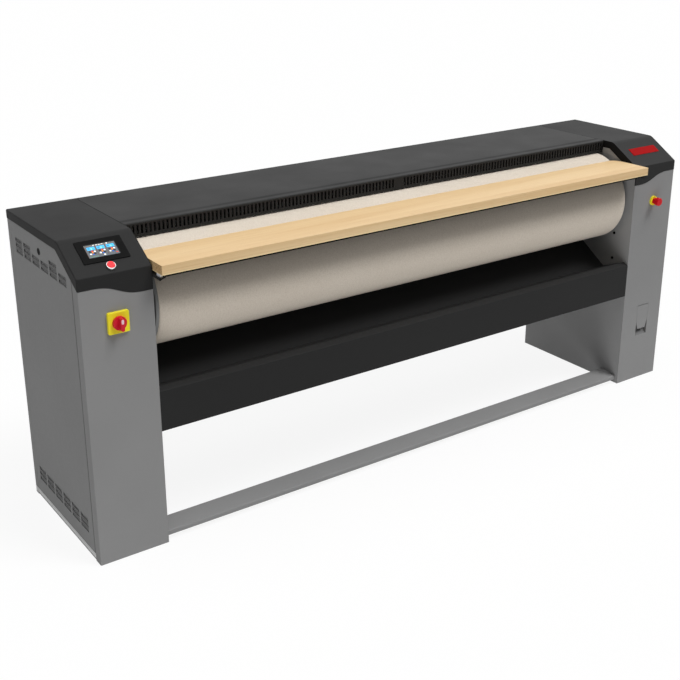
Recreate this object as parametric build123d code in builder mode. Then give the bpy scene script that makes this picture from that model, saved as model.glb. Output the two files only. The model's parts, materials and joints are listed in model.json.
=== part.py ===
from build123d import *
import os
from math import atan, cos, degrees, pi, radians, sin, sqrt, tan

# Flatwork ironer: one padded roll between two cabinets, fed from a wooden board, pressed by a heated chest.
# Millimetres, +X to the operator's right, +Y to the back, +Z up.
# The origin is on the floor, under the middle of the machine's box.
# A "depth" counts back from the cabinets' front face and a "height" counts up from the floor.
# Paired pieces are made by functions that take side = -1 (left) or side = +1 (right).

os.makedirs("parts", exist_ok=True)

LEFT = -1
RIGHT = 1
SIDE_NAMES = {LEFT: "left", RIGHT: "right"}

# ---------------------------------------------------------------- driving dimensions
overall_width = 2600.0
overall_height = 1030.0
cabinet_depth = 564.0
cabinet_width = 236.0
board_reach = 60.0  # how far the feed board stands in front of the cabinets
spigot_reach = 40.0  # how far the exhaust spigot stands behind the cabinets
floor_gap = 2.0  # sheet metal clears the floor by this, the feet carry the machine

sheet = 2.0  # outer panels and frame flanges
wall_sheet = 3.0  # inner walls, which carry the roll
seam = 1.0  # open joint between neighbouring panels
panel_inset = 1.0  # panels lie this far behind the faces of the covers

# covers
cover_wall = 3.0
cover_band = 28.0  # height of the covers' skirt
slope_run = 133.2  # depth at which the flat top starts to fall
slope_drop = 80.9  # from the flat top down to where the slope meets the front lip
band_lag = 15.8  # the skirt's lower edge starts to fall this far behind the slope
lip_outer = 37.1  # height of the front lip at the outer side
lip_inner = 74.1  # height of the front lip at the inner side
wave_flat_outer = 44.0  # straight stretch of the wave at the outer side
wave_run = 164.0  # width of the wave's S-curve
cover_edge_radius = 4.0
bend_radius = 40.0  # between the covers' flat top and their slope
lip_radius = 6.0  # between the slope and the front lip

# panels
corner_return = 37.5  # depth that the front panel wraps round the corner
corner_gap = 2.5  # open joint behind that return
rear_return = 24.0
corner_radius = 3.0
plinth_height = 20.0
frame_ring = 28.0  # width of the frame's flanges
frame_drop = 6.0  # the flanges end this far under the covers' skirt
pan_height = 14.0  # underside of the base pan
front_rail_depth = 230.0
rear_rail_setback = 44.0  # from the rear rail to the cabinet's rear face

# vents in the side panels
vent_length = 57.0
vent_height = 9.0
vent_pitch_depth = 72.3
vent_first_depth = 111.0
vent_row_pitch = 19.5
vent_end_margin = 60.0  # from the panel's rear edge to the middle of a column, at least
vent_rows = 3
upper_vent_drop = 102.5  # from the flat top down to the middle row
full_columns = (1, 4, 5)  # upper columns with all three rows, counted from the front
lower_vent_height = 105.0  # middle row

# panel locks
lock_depth = 293.0
lock_drop = 72.0  # from the flat top
lock_radius = 9.0
lock_barrel_length = 22.0
lock_head = 1.0
lock_head_rim = 2.0
lock_key_slot = (2.0, 9.0)
lock_cam_length = 30.0
lock_cam_width = 12.0
lock_cam_thickness = 3.0

# roll
roll_depth = 200.0
roll_top_gap = 3.0  # between the padding's top and the grille's lower edge
drum_radius = 162.5
drum_wall = 6.0
padding_thickness = 14.5
roll_end_room = 24.0  # from the padding's ends to the inner walls
flange_thickness = 10.0
padding_shift = 3.0  # of the padding's middle to the right, which covers the drum's right end
flange_drop = 2.0  # the end flanges stay this far below the padding
journal_radius = 30.0
journal_bore_radius = 22.0
journal_reach = 46.0  # journals run this far past the outside of the inner walls
journal_hole_gap = 5.0  # between a journal and the hole in the inner wall
bearing_length = 28.0
bearing_radius = 55.0
bearing_plate = 130.0
bearing_plate_thickness = 12.0
bearing_edge_radius = 3.0
bearing_bolt_margin = 12.0  # from the plate's edges to the middle of a bolt
running_gap = 0.05  # radial clearance of shafts in their bearings
bolt_radius = 5.0

# chain drive
chain_pitch = 12.7
roller_radius = 4.25
tooth_rise = 2.5  # height of the teeth above the pitch circle
sprocket_width = 7.2
web_holes = 5
web_hole_orbit = 72.0
web_hole_radius = 22.0
roll_teeth = 57
drive_teeth = 15
chain_plate_gap = 0.6
chain_plate = 1.6
chain_plate_half = 5.0
chain_plane = 39.0  # distance of the chain's middle from the right inner wall's outer face

# gearmotor with its hand-crank end
crank_height = 285.0
worm_to_output = 70.0  # height of the output shaft above the worm
chain_to_gearbox = 24.0  # from the chain's middle to the gearbox's inner side
crank_flats = 14.0
crank_collar = 24.0  # round part of the shaft in front of the gearbox
crank_setback = 8.0  # from the hatch pocket's back to the shaft's end
worm_radius = 10.0
output_radius = 12.5
output_hub = 7.2  # how far the output shaft stands past the drive sprocket
gearbox_front = 100.0
gearbox_width = 90.0
gearbox_depth = 100.0
gearbox_height = 170.0
gearbox_rise = 35.0  # of the gearbox's middle above the crank's axis
gearbox_offset = 57.0  # from the crank's axis to the gearbox's inner side
gearbox_corner = 12.0
gearbox_foot = (26.0, 34.0)
gearbox_foot_inset = 20.0
gearbox_foot_rise = 24.0
motor_radius = 55.0
motor_length = 190.0
fin_rise = 4.0
fin_thickness = 4.0
fin_pitch = 10.0
fin_count = 12
fin_setback = 30.0

# hatch for the hand crank
hatch_width = 69.0
hatch_below_crank = 84.0
hatch_height = 138.0
hatch_depth = 27.0
crank_hole_radius = 17.0
flap_shoulder_rise = 66.0  # from the hatch's lower edge
flap_tip_rise = 30.0  # from the hatch's lower edge
flap_tip_width = 46.0
flap_gap = 1.0
flap_top_gap = 2.5
hinge_radius = 2.0
hinge_drop = 5.0
hinge_inset = 5.0

# heated chest, drawn pressed against the roll and then swung open by chest_open
chest_gap = 1.5
chest_plate = 10.0
chest_body = 25.0
chest_skin = 2.0
chest_top_angle = 60.0
chest_bottom_angle = -70.0
chest_open = 3.2  # degrees between open and pressed
chest_rib_thickness = 12.0
chest_ribs = 5
heater_radius = 6.0
stave_count = 10  # hollow staves side by side round the roll, each with its heater
stave_gap = 0.2
pivot_setback = 80.0  # of the chest's pivot behind the roll's axis
pivot_drop = 372.0  # of the chest's pivot below the roll's axis
pivot_radius = 20.0
pivot_boss = 32.0
pivot_boss_length = 12.0
pivot_reach = 40.0
arm_thickness = 12.0
arm_spacing = 620.0  # of the outermost arms from the middle
arm_count = 4
arm_low_angle = -62.0  # the arms hold the casing between these two angles
arm_high_angle = -8.0
arm_knee_angle = -28.0
arm_knee_rise = 34.0
saddle_rise = 12.0  # of the arms' saddles, which carry every stave
lever_length = 120.0
lever_half_height = 12.0
lever_thickness = 14.0
lever_hub_rise = 8.0

# press actuator, upright under the lever
actuator_radius = 26.0
actuator_foot_height = 23.0
actuator_length = 260.0
actuator_bore_length = 130.0
rod_radius = 9.0
rod_sunk = 87.0  # length of the rod inside its cylinder
rod_gap = 0.6
rod_nose_radius = 4.5

# vent grille and centre cover
grille_lead = 17.0  # the grille's face stands this far in front of the roll's axis
grille_height = 48.0
grille_strip = 29.0
grille_radius = 5.0
slot_width = 7.0
slot_rise = 9.5  # from the grille's lower edge
slot_height = 30.0
slot_pitch = 14.6
slot_middle_gap = 53.7
slot_end_margin = 12.0  # from the grille's end to the middle of the last slot, at least
tongue = 26.0

# feed board
board_thickness = 30.0
board_drop = 20.0  # the board's top is this far below the grille
board_lead = 87.0  # from the board's rear edge to the roll's axis
board_end_gap = 3.0
board_corner = 40.0
board_roll_gap = 2.5
carrier_thickness = 4.0
carrier_setback = 8.0
pad_length = 18.0
pad_height = 13.0
pad_run = 28.0
bracket_thickness = 3.0
bracket_reach = 47.0  # how far the brackets stand in front of the cabinets
bracket_lead = 142.0  # from the brackets' rear ends to the roll's axis
bracket_wall = 2.0
bracket_drop = 13.0  # of the brackets' deepest corner below the pads
bracket_rise = 5.0  # of the brackets' upright plate beside the board's end
bracket_width = 27.0

# chute tray
tray_sheet = 2.0
tray_rear_depth = 255.0
tray_low_depth = 130.0
tray_ridge_depth = 23.0
tray_roll_gap = 42.0  # from the roll's lowest line down to the tray's rear edge
tray_fall = 82.0  # from the rear edge down to the fold
tray_rise = 44.0  # from the fold up to the ridge
apron_height = 144.0
apron_lip = 18.0
tray_nose_drop = 8.0  # the ridge's rounded nose falls this far to the apron
tray_bend = 4.0

# cross beams, square tubes between the inner walls
beam_size = 40.0
beam_wall = 3.0
beam_tray_gap = 4.0  # between the front beam and the tray's fold
rear_beam_height = 60.0
rear_beam_bottom = 430.0
rear_panel_bottom = 400.0
rear_panel_lip = 12.0

# foot bar
foot_back_depth = 90.0
foot_back_height = 45.0
foot_front_depth = 14.0
foot_front_height = 34.0
foot_lip_bottom = 20.0
foot_sheet = 2.5
foot_end_gap = 4.0
foot_pin_depth = 21.0
foot_pin_height = 28.0
foot_pin_radius = 6.0
foot_pin_reach = 22.0
foot_cam_length = 40.0
foot_cam_height = 6.0
foot_cam_thickness = 11.0
foot_bend = 5.0
pedal_switch_gap = 0.5
pedal_switch_length = 32.0
pedal_switch_height = 28.0

# control positions, measured from the cabinet's outer face
control_inset = 117.0
control_drop = 233.5  # from the flat top
control_hole_gap = 1.0

# display on the left slope
bezel_width = 145.0
bezel_length = 89.0
bezel_thickness = 3.0
bezel_corner = 3.0
bezel_rise = 58.9  # from the slope's middle up to the bezel's upper edge
screen_width = 98.0
screen_length = 54.0
screen_inset = 16.0  # from the bezel's upper edge
screen_thickness = 2.0
screen_sink = 0.5
display_margin = 7.0
display_depth = 34.0
display_gap = 1.0

# stop button on the left slope
stop_drop = 21.0  # from the bezel's lower edge down to the button's middle
stop_ring_radius = 15.0
stop_ring_height = 4.0
stop_ring_edge = 1.2
stop_radius = 12.0
stop_height = 9.0
stop_edge = 1.5
stop_stem_radius = 8.0
stop_sleeve_radius = 9.0
stop_sleeve_length = 12.0
stop_travel = 3.0
button_gap = 0.4

# main switch on the left front
switch_plate_size = 68.0
switch_plate_thickness = 9.0
switch_plate_corner = 5.0
switch_plate_edge = 2.0
knob_radius = 21.5
knob_base = 9.0
knob_height = 28.0
knob_bar_width = 12.0
knob_bar_length = 41.0
knob_edge = 1.5
switch_shaft_radius = 5.0
isolator_width = 56.0
isolator_height = 60.0
isolator_depth = 52.0
isolator_bore = 30.0
body_corner = 3.0

# emergency stop on the right front
estop_collar_radius = 19.5
estop_collar_height = 7.0
estop_reach = 37.0  # from the panel to the front of the head
estop_head_radius = 16.5
estop_head_height = 14.0
estop_head_edge = 3.0
estop_neck_radius = 14.0
estop_stem_radius = 11.0
estop_stem_sunk = 8.0  # how far the stem reaches behind the panel
estop_travel = 6.0
estop_block_width = 40.0
estop_block_height = 42.0
estop_block_depth = 46.0

# badge plate on the right slope
badge_width = 152.0
badge_length = 38.0
badge_rise = 24.5  # from the slope's middle up to the badge's upper edge
badge_thickness = 1.5
badge_corner = 1.0

# exhaust fan in the left cabinet, on the roll's axis
fan_inlet_gap = 3.0
fan_inlet_radius = 34.0
fan_gap = 14.0  # length of the inlet collar
fan_radius = 118.0
fan_width = 84.0
fan_wall = 2.0
fan_post_radius = 7.0
fan_post_inset = 10.0  # of the posts from the housing's rim
fan_posts = 4
fan_outlet_height = 80.0
fan_outlet_reach = 130.0  # from the roll's axis back to the outlet's end
fan_shaft_radius = 6.0
fan_shaft_gap = 1.0
fan_motor_radius = 46.0
fan_motor_length = 58.0
impeller_radius = 88.0
impeller_length = 54.0
impeller_gap = 6.0  # from the housing's back wall
impeller_eye_radius = 53.0
blade_count = 12
blade_thickness = 2.0
blade_orbit = 68.0
blade_chord = 31.0
blade_twist = 35.0
duct_radius = 50.0
duct_wall = 2.0
duct_flange_rise = 8.0
duct_bead_rise = 3.0  # of the rolled bead that stops the hose
duct_bead_length = 3.0
duct_plate_rise = 2.0  # of the square front plate around the duct

# electrics in the left cabinet
plate_stand = 30.0
plate_front = 70.0
plate_rear_gap = 64.0  # from the plate's rear edge to the cabinet's rear face
plate_lever_gap = 60.0  # from the chest's pivot up to the plate
plate_fan_gap = 29.0  # from the plate up to the fan's housing
plate_post_radius = 5.0
plate_post_margin = 40.0
inverter_depth = 170.0
inverter_length = 130.0
inverter_height = 140.0
inverter_reach = 110.0
inverter_corner = 4.0
cooling_slots = 14
cooling_slot_pitch = 8.0
cooling_slot_width = 3.0
cooling_slot_depth = 30.0
cable_entry_radius = 16.0
cable_entry_height = 120.0

# levelling feet
foot_pad_radius = 20.0
foot_pad_height = 10.0
foot_collar_radius = 11.0
foot_stud_radius = 6.0
foot_stud_top = 60.0
foot_stud_gap = 2.0  # between a stud and the foot bar's pin
foot_hole_gap = 0.5

# screws on the inner walls
wall_screw_depth = 85.0
wall_screw_rises = (48.0, 156.0)  # above the tray's fold
wall_screw_radius = 3.0
wall_screw_head = 5.5
wall_screw_head_height = 3.0
wall_screw_length = 14.0
screw_hole_gap = 0.5

# ---------------------------------------------------------------- derived places
half_width = overall_width / 2
wall_x = half_width - cabinet_width
wall_outer = wall_x + wall_sheet
panel_x = half_width - panel_inset
front_y = board_reach - (board_reach + cabinet_depth + spigot_reach) / 2
lip_top = overall_height - slope_drop
slope_angle = atan(slope_drop / slope_run)
slope_length = sqrt(slope_run**2 + slope_drop**2)
band_break = slope_run + band_lag
panel_back = panel_inset + sheet
rear_face = cabinet_depth - panel_inset
rear_inner = rear_face - sheet
skirt_bottom = overall_height - cover_band
cover_under = overall_height - cover_wall
wave_high = lip_top - lip_outer
wave_low = lip_top - lip_inner
rail_depths = (front_rail_depth, cabinet_depth - rear_rail_setback)
upper_vent_height = overall_height - upper_vent_drop
vent_run = rear_face - rear_return - seam - vent_end_margin - vent_first_depth
vent_columns = int(vent_run // vent_pitch_depth) + 1
lock_height = overall_height - lock_drop
wave_outer_x = half_width - wave_flat_outer
wave_inner_x = wave_outer_x - wave_run
grille_bottom = overall_height - grille_height
grille_depth = roll_depth - grille_lead
slot_bottom = grille_bottom + slot_rise
board_top = grille_bottom - board_drop
board_rear = roll_depth - board_lead
bracket_front = -bracket_reach
bracket_rear = roll_depth - bracket_lead
roll_radius = drum_radius + padding_thickness
roll_height = grille_bottom - roll_top_gap - roll_radius
roll_cover_length = 2 * (wall_x - roll_end_room)
flange_radius = roll_radius - flange_drop
bearing_bolt_spread = bearing_plate - 2 * bearing_bolt_margin
drum_half = roll_cover_length / 2 - padding_shift + flange_thickness
journal_end = wall_outer + journal_reach
control_x = half_width - control_inset
control_height = overall_height - control_drop
chain_x = wall_outer + chain_plane
gearbox_left = chain_x + chain_to_gearbox
crank_x = gearbox_left + gearbox_offset
sprocket_depth = gearbox_front + gearbox_depth / 2
sprocket_height = crank_height + worm_to_output
hatch_bottom = crank_height - hatch_below_crank
hatch_top = hatch_bottom + hatch_height
flap_shoulder = hatch_bottom + flap_shoulder_rise
flap_tip = hatch_bottom + flap_tip_rise
pivot_depth = roll_depth + pivot_setback
pivot_height = roll_height - pivot_drop
tray_rear_height = roll_height - roll_radius - tray_roll_gap
tray_low_height = tray_rear_height - tray_fall
tray_ridge_height = tray_low_height + tray_rise
apron_bottom = tray_ridge_height - apron_height
wall_screw_heights = [tray_low_height + rise for rise in wall_screw_rises]
bezel_start = slope_length / 2 - bezel_rise
screen_start = bezel_start + screen_inset
stop_start = bezel_start + bezel_length + stop_drop
badge_start = slope_length / 2 - badge_rise
foot_inset = foot_pin_reach + foot_stud_radius + foot_stud_gap
display_width = bezel_width - 2 * display_margin
display_length = bezel_length - 2 * display_margin
roll_place = (roll_depth, roll_height)
fan_start_x = -(journal_end + fan_inlet_gap)
fan_x0 = fan_start_x - fan_gap
fan_x1 = fan_x0 - fan_width
fan_middle_x = (fan_x0 + fan_x1) / 2
fan_outlet_end = roll_depth + fan_outlet_reach
plate_bottom = pivot_height + plate_lever_gap
plate_height = roll_height - fan_radius - plate_fan_gap - plate_bottom
plate_length = cabinet_depth - plate_front - plate_rear_gap
fan_outlet_middle = roll_height + fan_radius - fan_outlet_height / 2


def side_plane(x):
    """Plane square to X: its sketches are drawn in (depth, height)."""
    return Plane(origin=(x, front_y, 0), x_dir=(0, 1, 0), z_dir=(1, 0, 0))


def front_plane(depth):
    """Plane square to Y, facing the front: its sketches are drawn in (x, height)."""
    return Plane(origin=(0, front_y + depth, 0), x_dir=(1, 0, 0), z_dir=(0, -1, 0))


def level_plane(height):
    """Level plane: its sketches are drawn in (x, depth)."""
    return Plane(origin=(0, front_y, height), x_dir=(1, 0, 0), z_dir=(0, 0, 1))


def slope_plane(lift=0.0):
    """Plane on the covers' slope, raised by lift: drawn in (x, -distance down the slope)."""
    rise = (0, -sin(slope_angle), cos(slope_angle))
    foot = (0, front_y + slope_run + lift * rise[1], overall_height + lift * rise[2])
    return Plane(origin=foot, x_dir=(1, 0, 0), z_dir=rise)


def chest_plane(x):
    """Plane square to X, turned open about the chest's pivot: the pivot is its origin."""
    turn = radians(-chest_open)
    pivot = (x, front_y + pivot_depth, pivot_height)
    return Plane(origin=pivot, x_dir=(0, cos(turn), sin(turn)), z_dir=(1, 0, 0))


def skirt_height(depth, drop=0.0):
    """Height of the skirt's lower edge at a depth, less a drop."""
    return skirt_bottom - max(0.0, band_break - depth) * tan(slope_angle) - drop


def skirt_outline(front, back, bottom, drop):
    """Outline in (depth, height) of what lies below the skirt's edge."""
    top = [(back, skirt_height(back, drop))]
    if front < band_break < back:
        top.append((band_break, skirt_bottom - drop))
    top.append((front, skirt_height(front, drop)))
    return [(front, bottom), (back, bottom)] + top


def wave_outline(side, inner_x, outer_x, bottom, gap):
    """Edges in (x, height) round what lies under the lip's wavy edge, less a gap."""
    low = wave_low - gap
    high = wave_high - gap
    start = side * wave_inner_x
    end = side * wave_outer_x
    middle = (start + end) / 2
    with BuildLine() as outline:
        Polyline((side * inner_x, bottom), (side * inner_x, low), (start, low))
        Bezier((start, low), (middle, low), (middle, high), (end, high))
        Polyline((end, high), (side * outer_x, high), (side * outer_x, bottom), (side * inner_x, bottom))
    return outline.edges()


def front_corner(part, side):
    """The upright edge at the front outer corner of a cabinet piece."""
    return part.edges().filter_by(Axis.Z).sort_by(lambda e: side * e.center().X - e.center().Y)[-1]


def save(part, name):
    part.label = name
    export_step(part, f"parts/{name}.step")


# ---------------------------------------------------------------- cabinets
def make_cabinet_frame(side):
    """Welded frame: inner wall, flanged rings behind the panels, base pan and two cover rails."""
    ring_x = side * (panel_x - sheet)
    with BuildPart() as frame:
        with BuildSketch(side_plane(side * wall_x)):
            Polygon(*skirt_outline(panel_back, rear_inner, floor_gap, seam), align=None)
        extrude(amount=side * wall_sheet)
        with BuildSketch(side_plane(ring_x)):
            outline = Polygon(*skirt_outline(panel_back, rear_inner, floor_gap, frame_drop), align=None)
            offset(outline, amount=-frame_ring, kind=Kind.INTERSECTION, mode=Mode.SUBTRACT)
        extrude(amount=-side * sheet)
        inner_width = panel_x - sheet - wall_outer
        middle_x = side * (wall_outer + inner_width / 2)
        for depth, top in ((panel_back, wave_low), (rear_inner - sheet, skirt_bottom - frame_drop)):
            ring_height = top - floor_gap
            with BuildSketch(front_plane(depth)):
                with Locations((middle_x, floor_gap + ring_height / 2)):
                    Rectangle(inner_width, ring_height)
                    Rectangle(inner_width - 2 * frame_ring, ring_height - 2 * frame_ring, mode=Mode.SUBTRACT)
            extrude(amount=-sheet)
        with BuildSketch(level_plane(pan_height)):
            with Locations((middle_x, (panel_back + rear_inner) / 2)):
                Rectangle(inner_width, rear_inner - panel_back)
        extrude(amount=wall_sheet)
        for depth in rail_depths:
            with BuildSketch(front_plane(depth)):
                with Locations((middle_x, cover_under - (cover_band + frame_ring) / 2)):
                    Rectangle(inner_width, cover_band + frame_ring)
            extrude(amount=-wall_sheet)
        # header behind the joint of the front panel and the cover's lip
        header_top = skirt_height(panel_back, frame_drop)
        with BuildSketch(front_plane(panel_back)):
            with Locations((middle_x, (header_top + wave_low - frame_ring) / 2)):
                Rectangle(inner_width, header_top - wave_low + frame_ring)
        extrude(amount=-sheet)
        # boss that carries the chest's pivot shaft
        with BuildSketch(side_plane(side * wall_outer)):
            with Locations((pivot_depth, pivot_height)):
                Circle(pivot_boss)
        extrude(amount=side * pivot_boss_length)
        holes = [
            (roll_place, journal_radius + journal_hole_gap),
            ((pivot_depth, pivot_height), pivot_radius + running_gap),
            ((foot_pin_depth, foot_pin_height), foot_pin_radius + running_gap),
        ]
        for height in wall_screw_heights:
            holes.append(((wall_screw_depth, height), wall_screw_radius + screw_hole_gap))
        for place, radius in holes:
            with BuildSketch(side_plane(side * wall_x)):
                with Locations(place):
                    Circle(radius)
            extrude(amount=side * (wall_sheet + pivot_boss_length), mode=Mode.SUBTRACT)
        with BuildSketch(level_plane(pan_height)):
            with Locations(*foot_places(side)):
                Circle(foot_stud_radius + foot_hole_gap)
        extrude(amount=wall_sheet, mode=Mode.SUBTRACT)
    return frame.part


def foot_places(side):
    """Places of one cabinet's levelling feet in (x, depth)."""
    columns = (side * (wall_outer + foot_inset), side * (panel_x - sheet - foot_inset))
    rows = (panel_back + foot_inset, rear_inner - foot_inset)
    return [(x, depth) for x in columns for depth in rows]


def make_front_panel(side):
    with BuildPart() as panel:
        with BuildSketch(front_plane(panel_inset)):
            make_face(wave_outline(side, wall_x, panel_x, floor_gap, seam))
        extrude(amount=-sheet)
        with BuildSketch(side_plane(side * panel_x)):
            Polygon(*skirt_outline(panel_inset + sheet, corner_return, floor_gap, seam), align=None)
        extrude(amount=-side * sheet)
        fillet(front_corner(panel, side), radius=corner_radius)
        if side == LEFT:
            stem = switch_shaft_radius
        else:
            stem = estop_stem_radius
        with BuildSketch(front_plane(panel_inset)):
            with Locations((side * control_x, control_height)):
                Circle(stem + control_hole_gap)
            if side == RIGHT:
                with Locations((crank_x, (hatch_bottom + hatch_top) / 2)):
                    Rectangle(hatch_width, hatch_height)
        extrude(amount=-sheet, mode=Mode.SUBTRACT)
    return panel.part


def vent_places():
    """Middles of the louvre openings in (depth, height)."""
    places = []
    for column in range(vent_columns):
        depth = vent_first_depth + column * vent_pitch_depth
        for row in range(vent_rows):
            shift = (row - (vent_rows - 1) / 2) * vent_row_pitch
            places.append((depth, lower_vent_height + shift))
            top_row = row == vent_rows - 1
            if column in full_columns or not top_row:
                places.append((depth, upper_vent_height + shift))
    return places


def make_side_panel(side):
    with BuildPart() as panel:
        with BuildSketch(side_plane(side * panel_x)):
            outline = skirt_outline(corner_return + corner_gap, rear_face - rear_return - seam, plinth_height, seam)
            Polygon(*outline, align=None)
            with Locations(*vent_places()):
                Rectangle(vent_length, vent_height, mode=Mode.SUBTRACT)
            with Locations((lock_depth, lock_height)):
                Circle(lock_radius + running_gap, mode=Mode.SUBTRACT)
        extrude(amount=-side * sheet)
    return panel.part


def make_rear_panel(side):
    with BuildPart() as panel:
        with BuildSketch(front_plane(rear_face)):
            Polygon(
                (side * wall_x, floor_gap), (side * panel_x, floor_gap),
                (side * panel_x, skirt_bottom - seam), (side * wall_x, skirt_bottom - seam), align=None,
            )
            if side == LEFT:
                with Locations((fan_middle_x, fan_outlet_middle)):
                    Circle(duct_radius + duct_bead_rise + seam, mode=Mode.SUBTRACT)
                with Locations((side * control_x, cable_entry_height)):
                    Circle(cable_entry_radius, mode=Mode.SUBTRACT)
        extrude(amount=sheet)
        with BuildSketch(side_plane(side * panel_x)):
            back = rear_face - sheet
            outline = skirt_outline(rear_face - rear_return, back, floor_gap, seam)
            Polygon(*outline, align=None)
        extrude(amount=-side * sheet)
    return panel.part


def round_nose(profile):
    """Rounds the two bends of a cover's profile, given as (depth, height)."""
    for depth, height, radius in ((slope_run, overall_height, bend_radius), (0, lip_top, lip_radius)):
        bends = profile.vertices().sort_by(lambda v: abs(v.X - depth) + abs(v.Y - height))
        fillet(bends[0], radius=radius)


def make_top_cover(side):
    """Moulded cover: flat top, sloped nose, skirt all round and a wavy front lip."""
    deep = wave_low - frame_ring
    cover_points = (
        (0, deep), (0, lip_top), (slope_run, overall_height),
        (cabinet_depth, overall_height), (cabinet_depth, deep),
    )
    with BuildPart() as cover:
        with BuildSketch(side_plane(side * wall_x)) as outside:
            Polygon(*cover_points, align=None)
            round_nose(outside)
        extrude(amount=side * cabinet_width)
        sides = cover.faces().filter_by(lambda f: abs(f.normal_at().X) > 0.9)
        outer_face = sides.sort_by(lambda f: side * f.center().X)[-1]
        rims = outer_face.edges().filter_by(lambda e: e.center().Z > lip_top - lip_radius)
        fillet(rims + [front_corner(cover, side)], radius=cover_edge_radius)
        with BuildSketch(side_plane(side * (wall_x + cover_wall))) as inside:
            Polygon(*cover_points, align=None)
            round_nose(inside)
            offset(amount=-cover_wall, kind=Kind.INTERSECTION, mode=Mode.REPLACE)
        extrude(amount=side * (cabinet_width - 2 * cover_wall), mode=Mode.SUBTRACT)
        with BuildSketch(side_plane(side * (wall_x - seam))):
            Polygon(*skirt_outline(cover_wall, cabinet_depth + seam, deep - seam, 0), align=None)
        extrude(amount=side * (cabinet_width + 2 * seam), mode=Mode.SUBTRACT)
        with BuildSketch(front_plane(-seam)):
            make_face(wave_outline(side, wall_x - seam, half_width + seam, deep - seam, 0))
        extrude(amount=-(cover_wall + seam), mode=Mode.SUBTRACT)
        if side == LEFT:
            with BuildSketch(slope_plane(seam)):
                with Locations((-control_x, -(bezel_start + bezel_length / 2))):
                    Rectangle(display_width + 2 * display_gap, display_length + 2 * display_gap)
                with Locations((-control_x, -stop_start)):
                    Circle(stop_sleeve_radius + control_hole_gap)
            extrude(amount=-(cover_wall + 2 * seam), mode=Mode.SUBTRACT)
    return cover.part


for side, word in SIDE_NAMES.items():
    save(make_cabinet_frame(side), f"{word}_cabinet_frame")
    save(make_front_panel(side), f"{word}_front_panel")
    save(make_side_panel(side), f"{word}_side_panel")
    save(make_rear_panel(side), f"{word}_rear_panel")
    save(make_top_cover(side), f"{word}_top_cover")


def make_panel_lock(side):
    """Quarter-turn lock: barrel in the side panel, cam behind the frame's flange."""
    with BuildPart() as lock:
        with BuildSketch(side_plane(side * (panel_x + lock_head))):
            with Locations((lock_depth, lock_height)):
                Circle(lock_radius + lock_head_rim)
        extrude(amount=-side * lock_head)
        with BuildSketch(side_plane(side * panel_x)):
            with Locations((lock_depth, lock_height)):
                Circle(lock_radius)
        extrude(amount=-side * lock_barrel_length)
        with BuildSketch(side_plane(side * (panel_x - lock_barrel_length))):
            with Locations((lock_depth, lock_height + lock_cam_length / 2 - lock_radius)):
                Rectangle(lock_cam_width, lock_cam_length + lock_radius)
        extrude(amount=side * lock_cam_thickness)
        with BuildSketch(side_plane(side * (panel_x + lock_head))):
            with Locations((lock_depth, lock_height)):
                Rectangle(*lock_key_slot)
        extrude(amount=-side * 2 * lock_head, mode=Mode.SUBTRACT)
    return lock.part


for side, word in SIDE_NAMES.items():
    save(make_panel_lock(side), f"{word}_panel_lock")

with BuildPart() as levelling_feet:
    for side in SIDE_NAMES:
        for x, depth in foot_places(side):
            for radius, bottom, top in (
                (foot_pad_radius, 0.0, foot_pad_height),
                (foot_collar_radius, foot_pad_height, pan_height),
                (foot_stud_radius, pan_height, foot_stud_top),
            ):
                with BuildSketch(level_plane(bottom)):
                    with Locations((x, depth)):
                        Circle(radius)
                extrude(amount=top - bottom)
save(levelling_feet.part, "levelling_feet")

with BuildPart() as wall_screws:
    for side in SIDE_NAMES:
        for height in wall_screw_heights:
            with BuildSketch(side_plane(side * wall_x)):
                with Locations((wall_screw_depth, height)):
                    Circle(wall_screw_head)
            extrude(amount=-side * wall_screw_head_height)
            with BuildSketch(side_plane(side * wall_x)):
                with Locations((wall_screw_depth, height)):
                    Circle(wall_screw_radius)
            extrude(amount=side * wall_screw_length)
save(wall_screws.part, "wall_screws")

# ---------------------------------------------------------------- beams, rear panel, centre cover, grille
middle_half = wall_x - seam


def make_beam(depth, bottom, height):
    """Square tube between the inner walls, from its middle depth, its underside and its height."""
    with BuildPart() as beam:
        with BuildSketch(side_plane(-wall_x)):
            with Locations((depth, bottom + height / 2)):
                Rectangle(beam_size, height)
                Rectangle(beam_size - 2 * beam_wall, height - 2 * beam_wall, mode=Mode.SUBTRACT)
        extrude(amount=2 * wall_x)
    return beam.part


back_beam_depth = cabinet_depth - 2 * cover_wall - beam_size / 2
back_beam_face = back_beam_depth + beam_size / 2
front_beam_bottom = tray_low_height - beam_tray_gap - beam_size
save(make_beam(tray_low_depth, front_beam_bottom, beam_size), "front_cross_beam")
save(make_beam(back_beam_depth, rear_beam_bottom, rear_beam_height), "rear_cross_beam")
save(make_beam(back_beam_depth, cover_under - beam_size, beam_size), "top_cross_beam")

panel_top = skirt_bottom - seam
with BuildPart() as middle_rear_panel:
    with BuildSketch(front_plane(back_beam_face)):
        with Locations((0, (rear_panel_bottom + panel_top) / 2)):
            Rectangle(2 * middle_half, panel_top - rear_panel_bottom)
    extrude(amount=-sheet)
    with BuildSketch(level_plane(rear_panel_bottom)):
        with Locations((0, back_beam_face + sheet - rear_panel_lip / 2)):
            Rectangle(2 * middle_half, rear_panel_lip)
    extrude(amount=sheet)
save(middle_rear_panel.part, "middle_rear_panel")

cover_front = grille_depth + grille_strip
with BuildPart() as centre_top_cover:
    with BuildSketch(side_plane(-middle_half)):
        Polygon(
            (cover_front, overall_height), (cabinet_depth, overall_height), (cabinet_depth, skirt_bottom),
            (cabinet_depth - cover_wall, skirt_bottom), (cabinet_depth - cover_wall, cover_under),
            (cover_front, cover_under), align=None,
        )
    extrude(amount=2 * middle_half)
save(centre_top_cover.part, "centre_top_cover")

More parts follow.
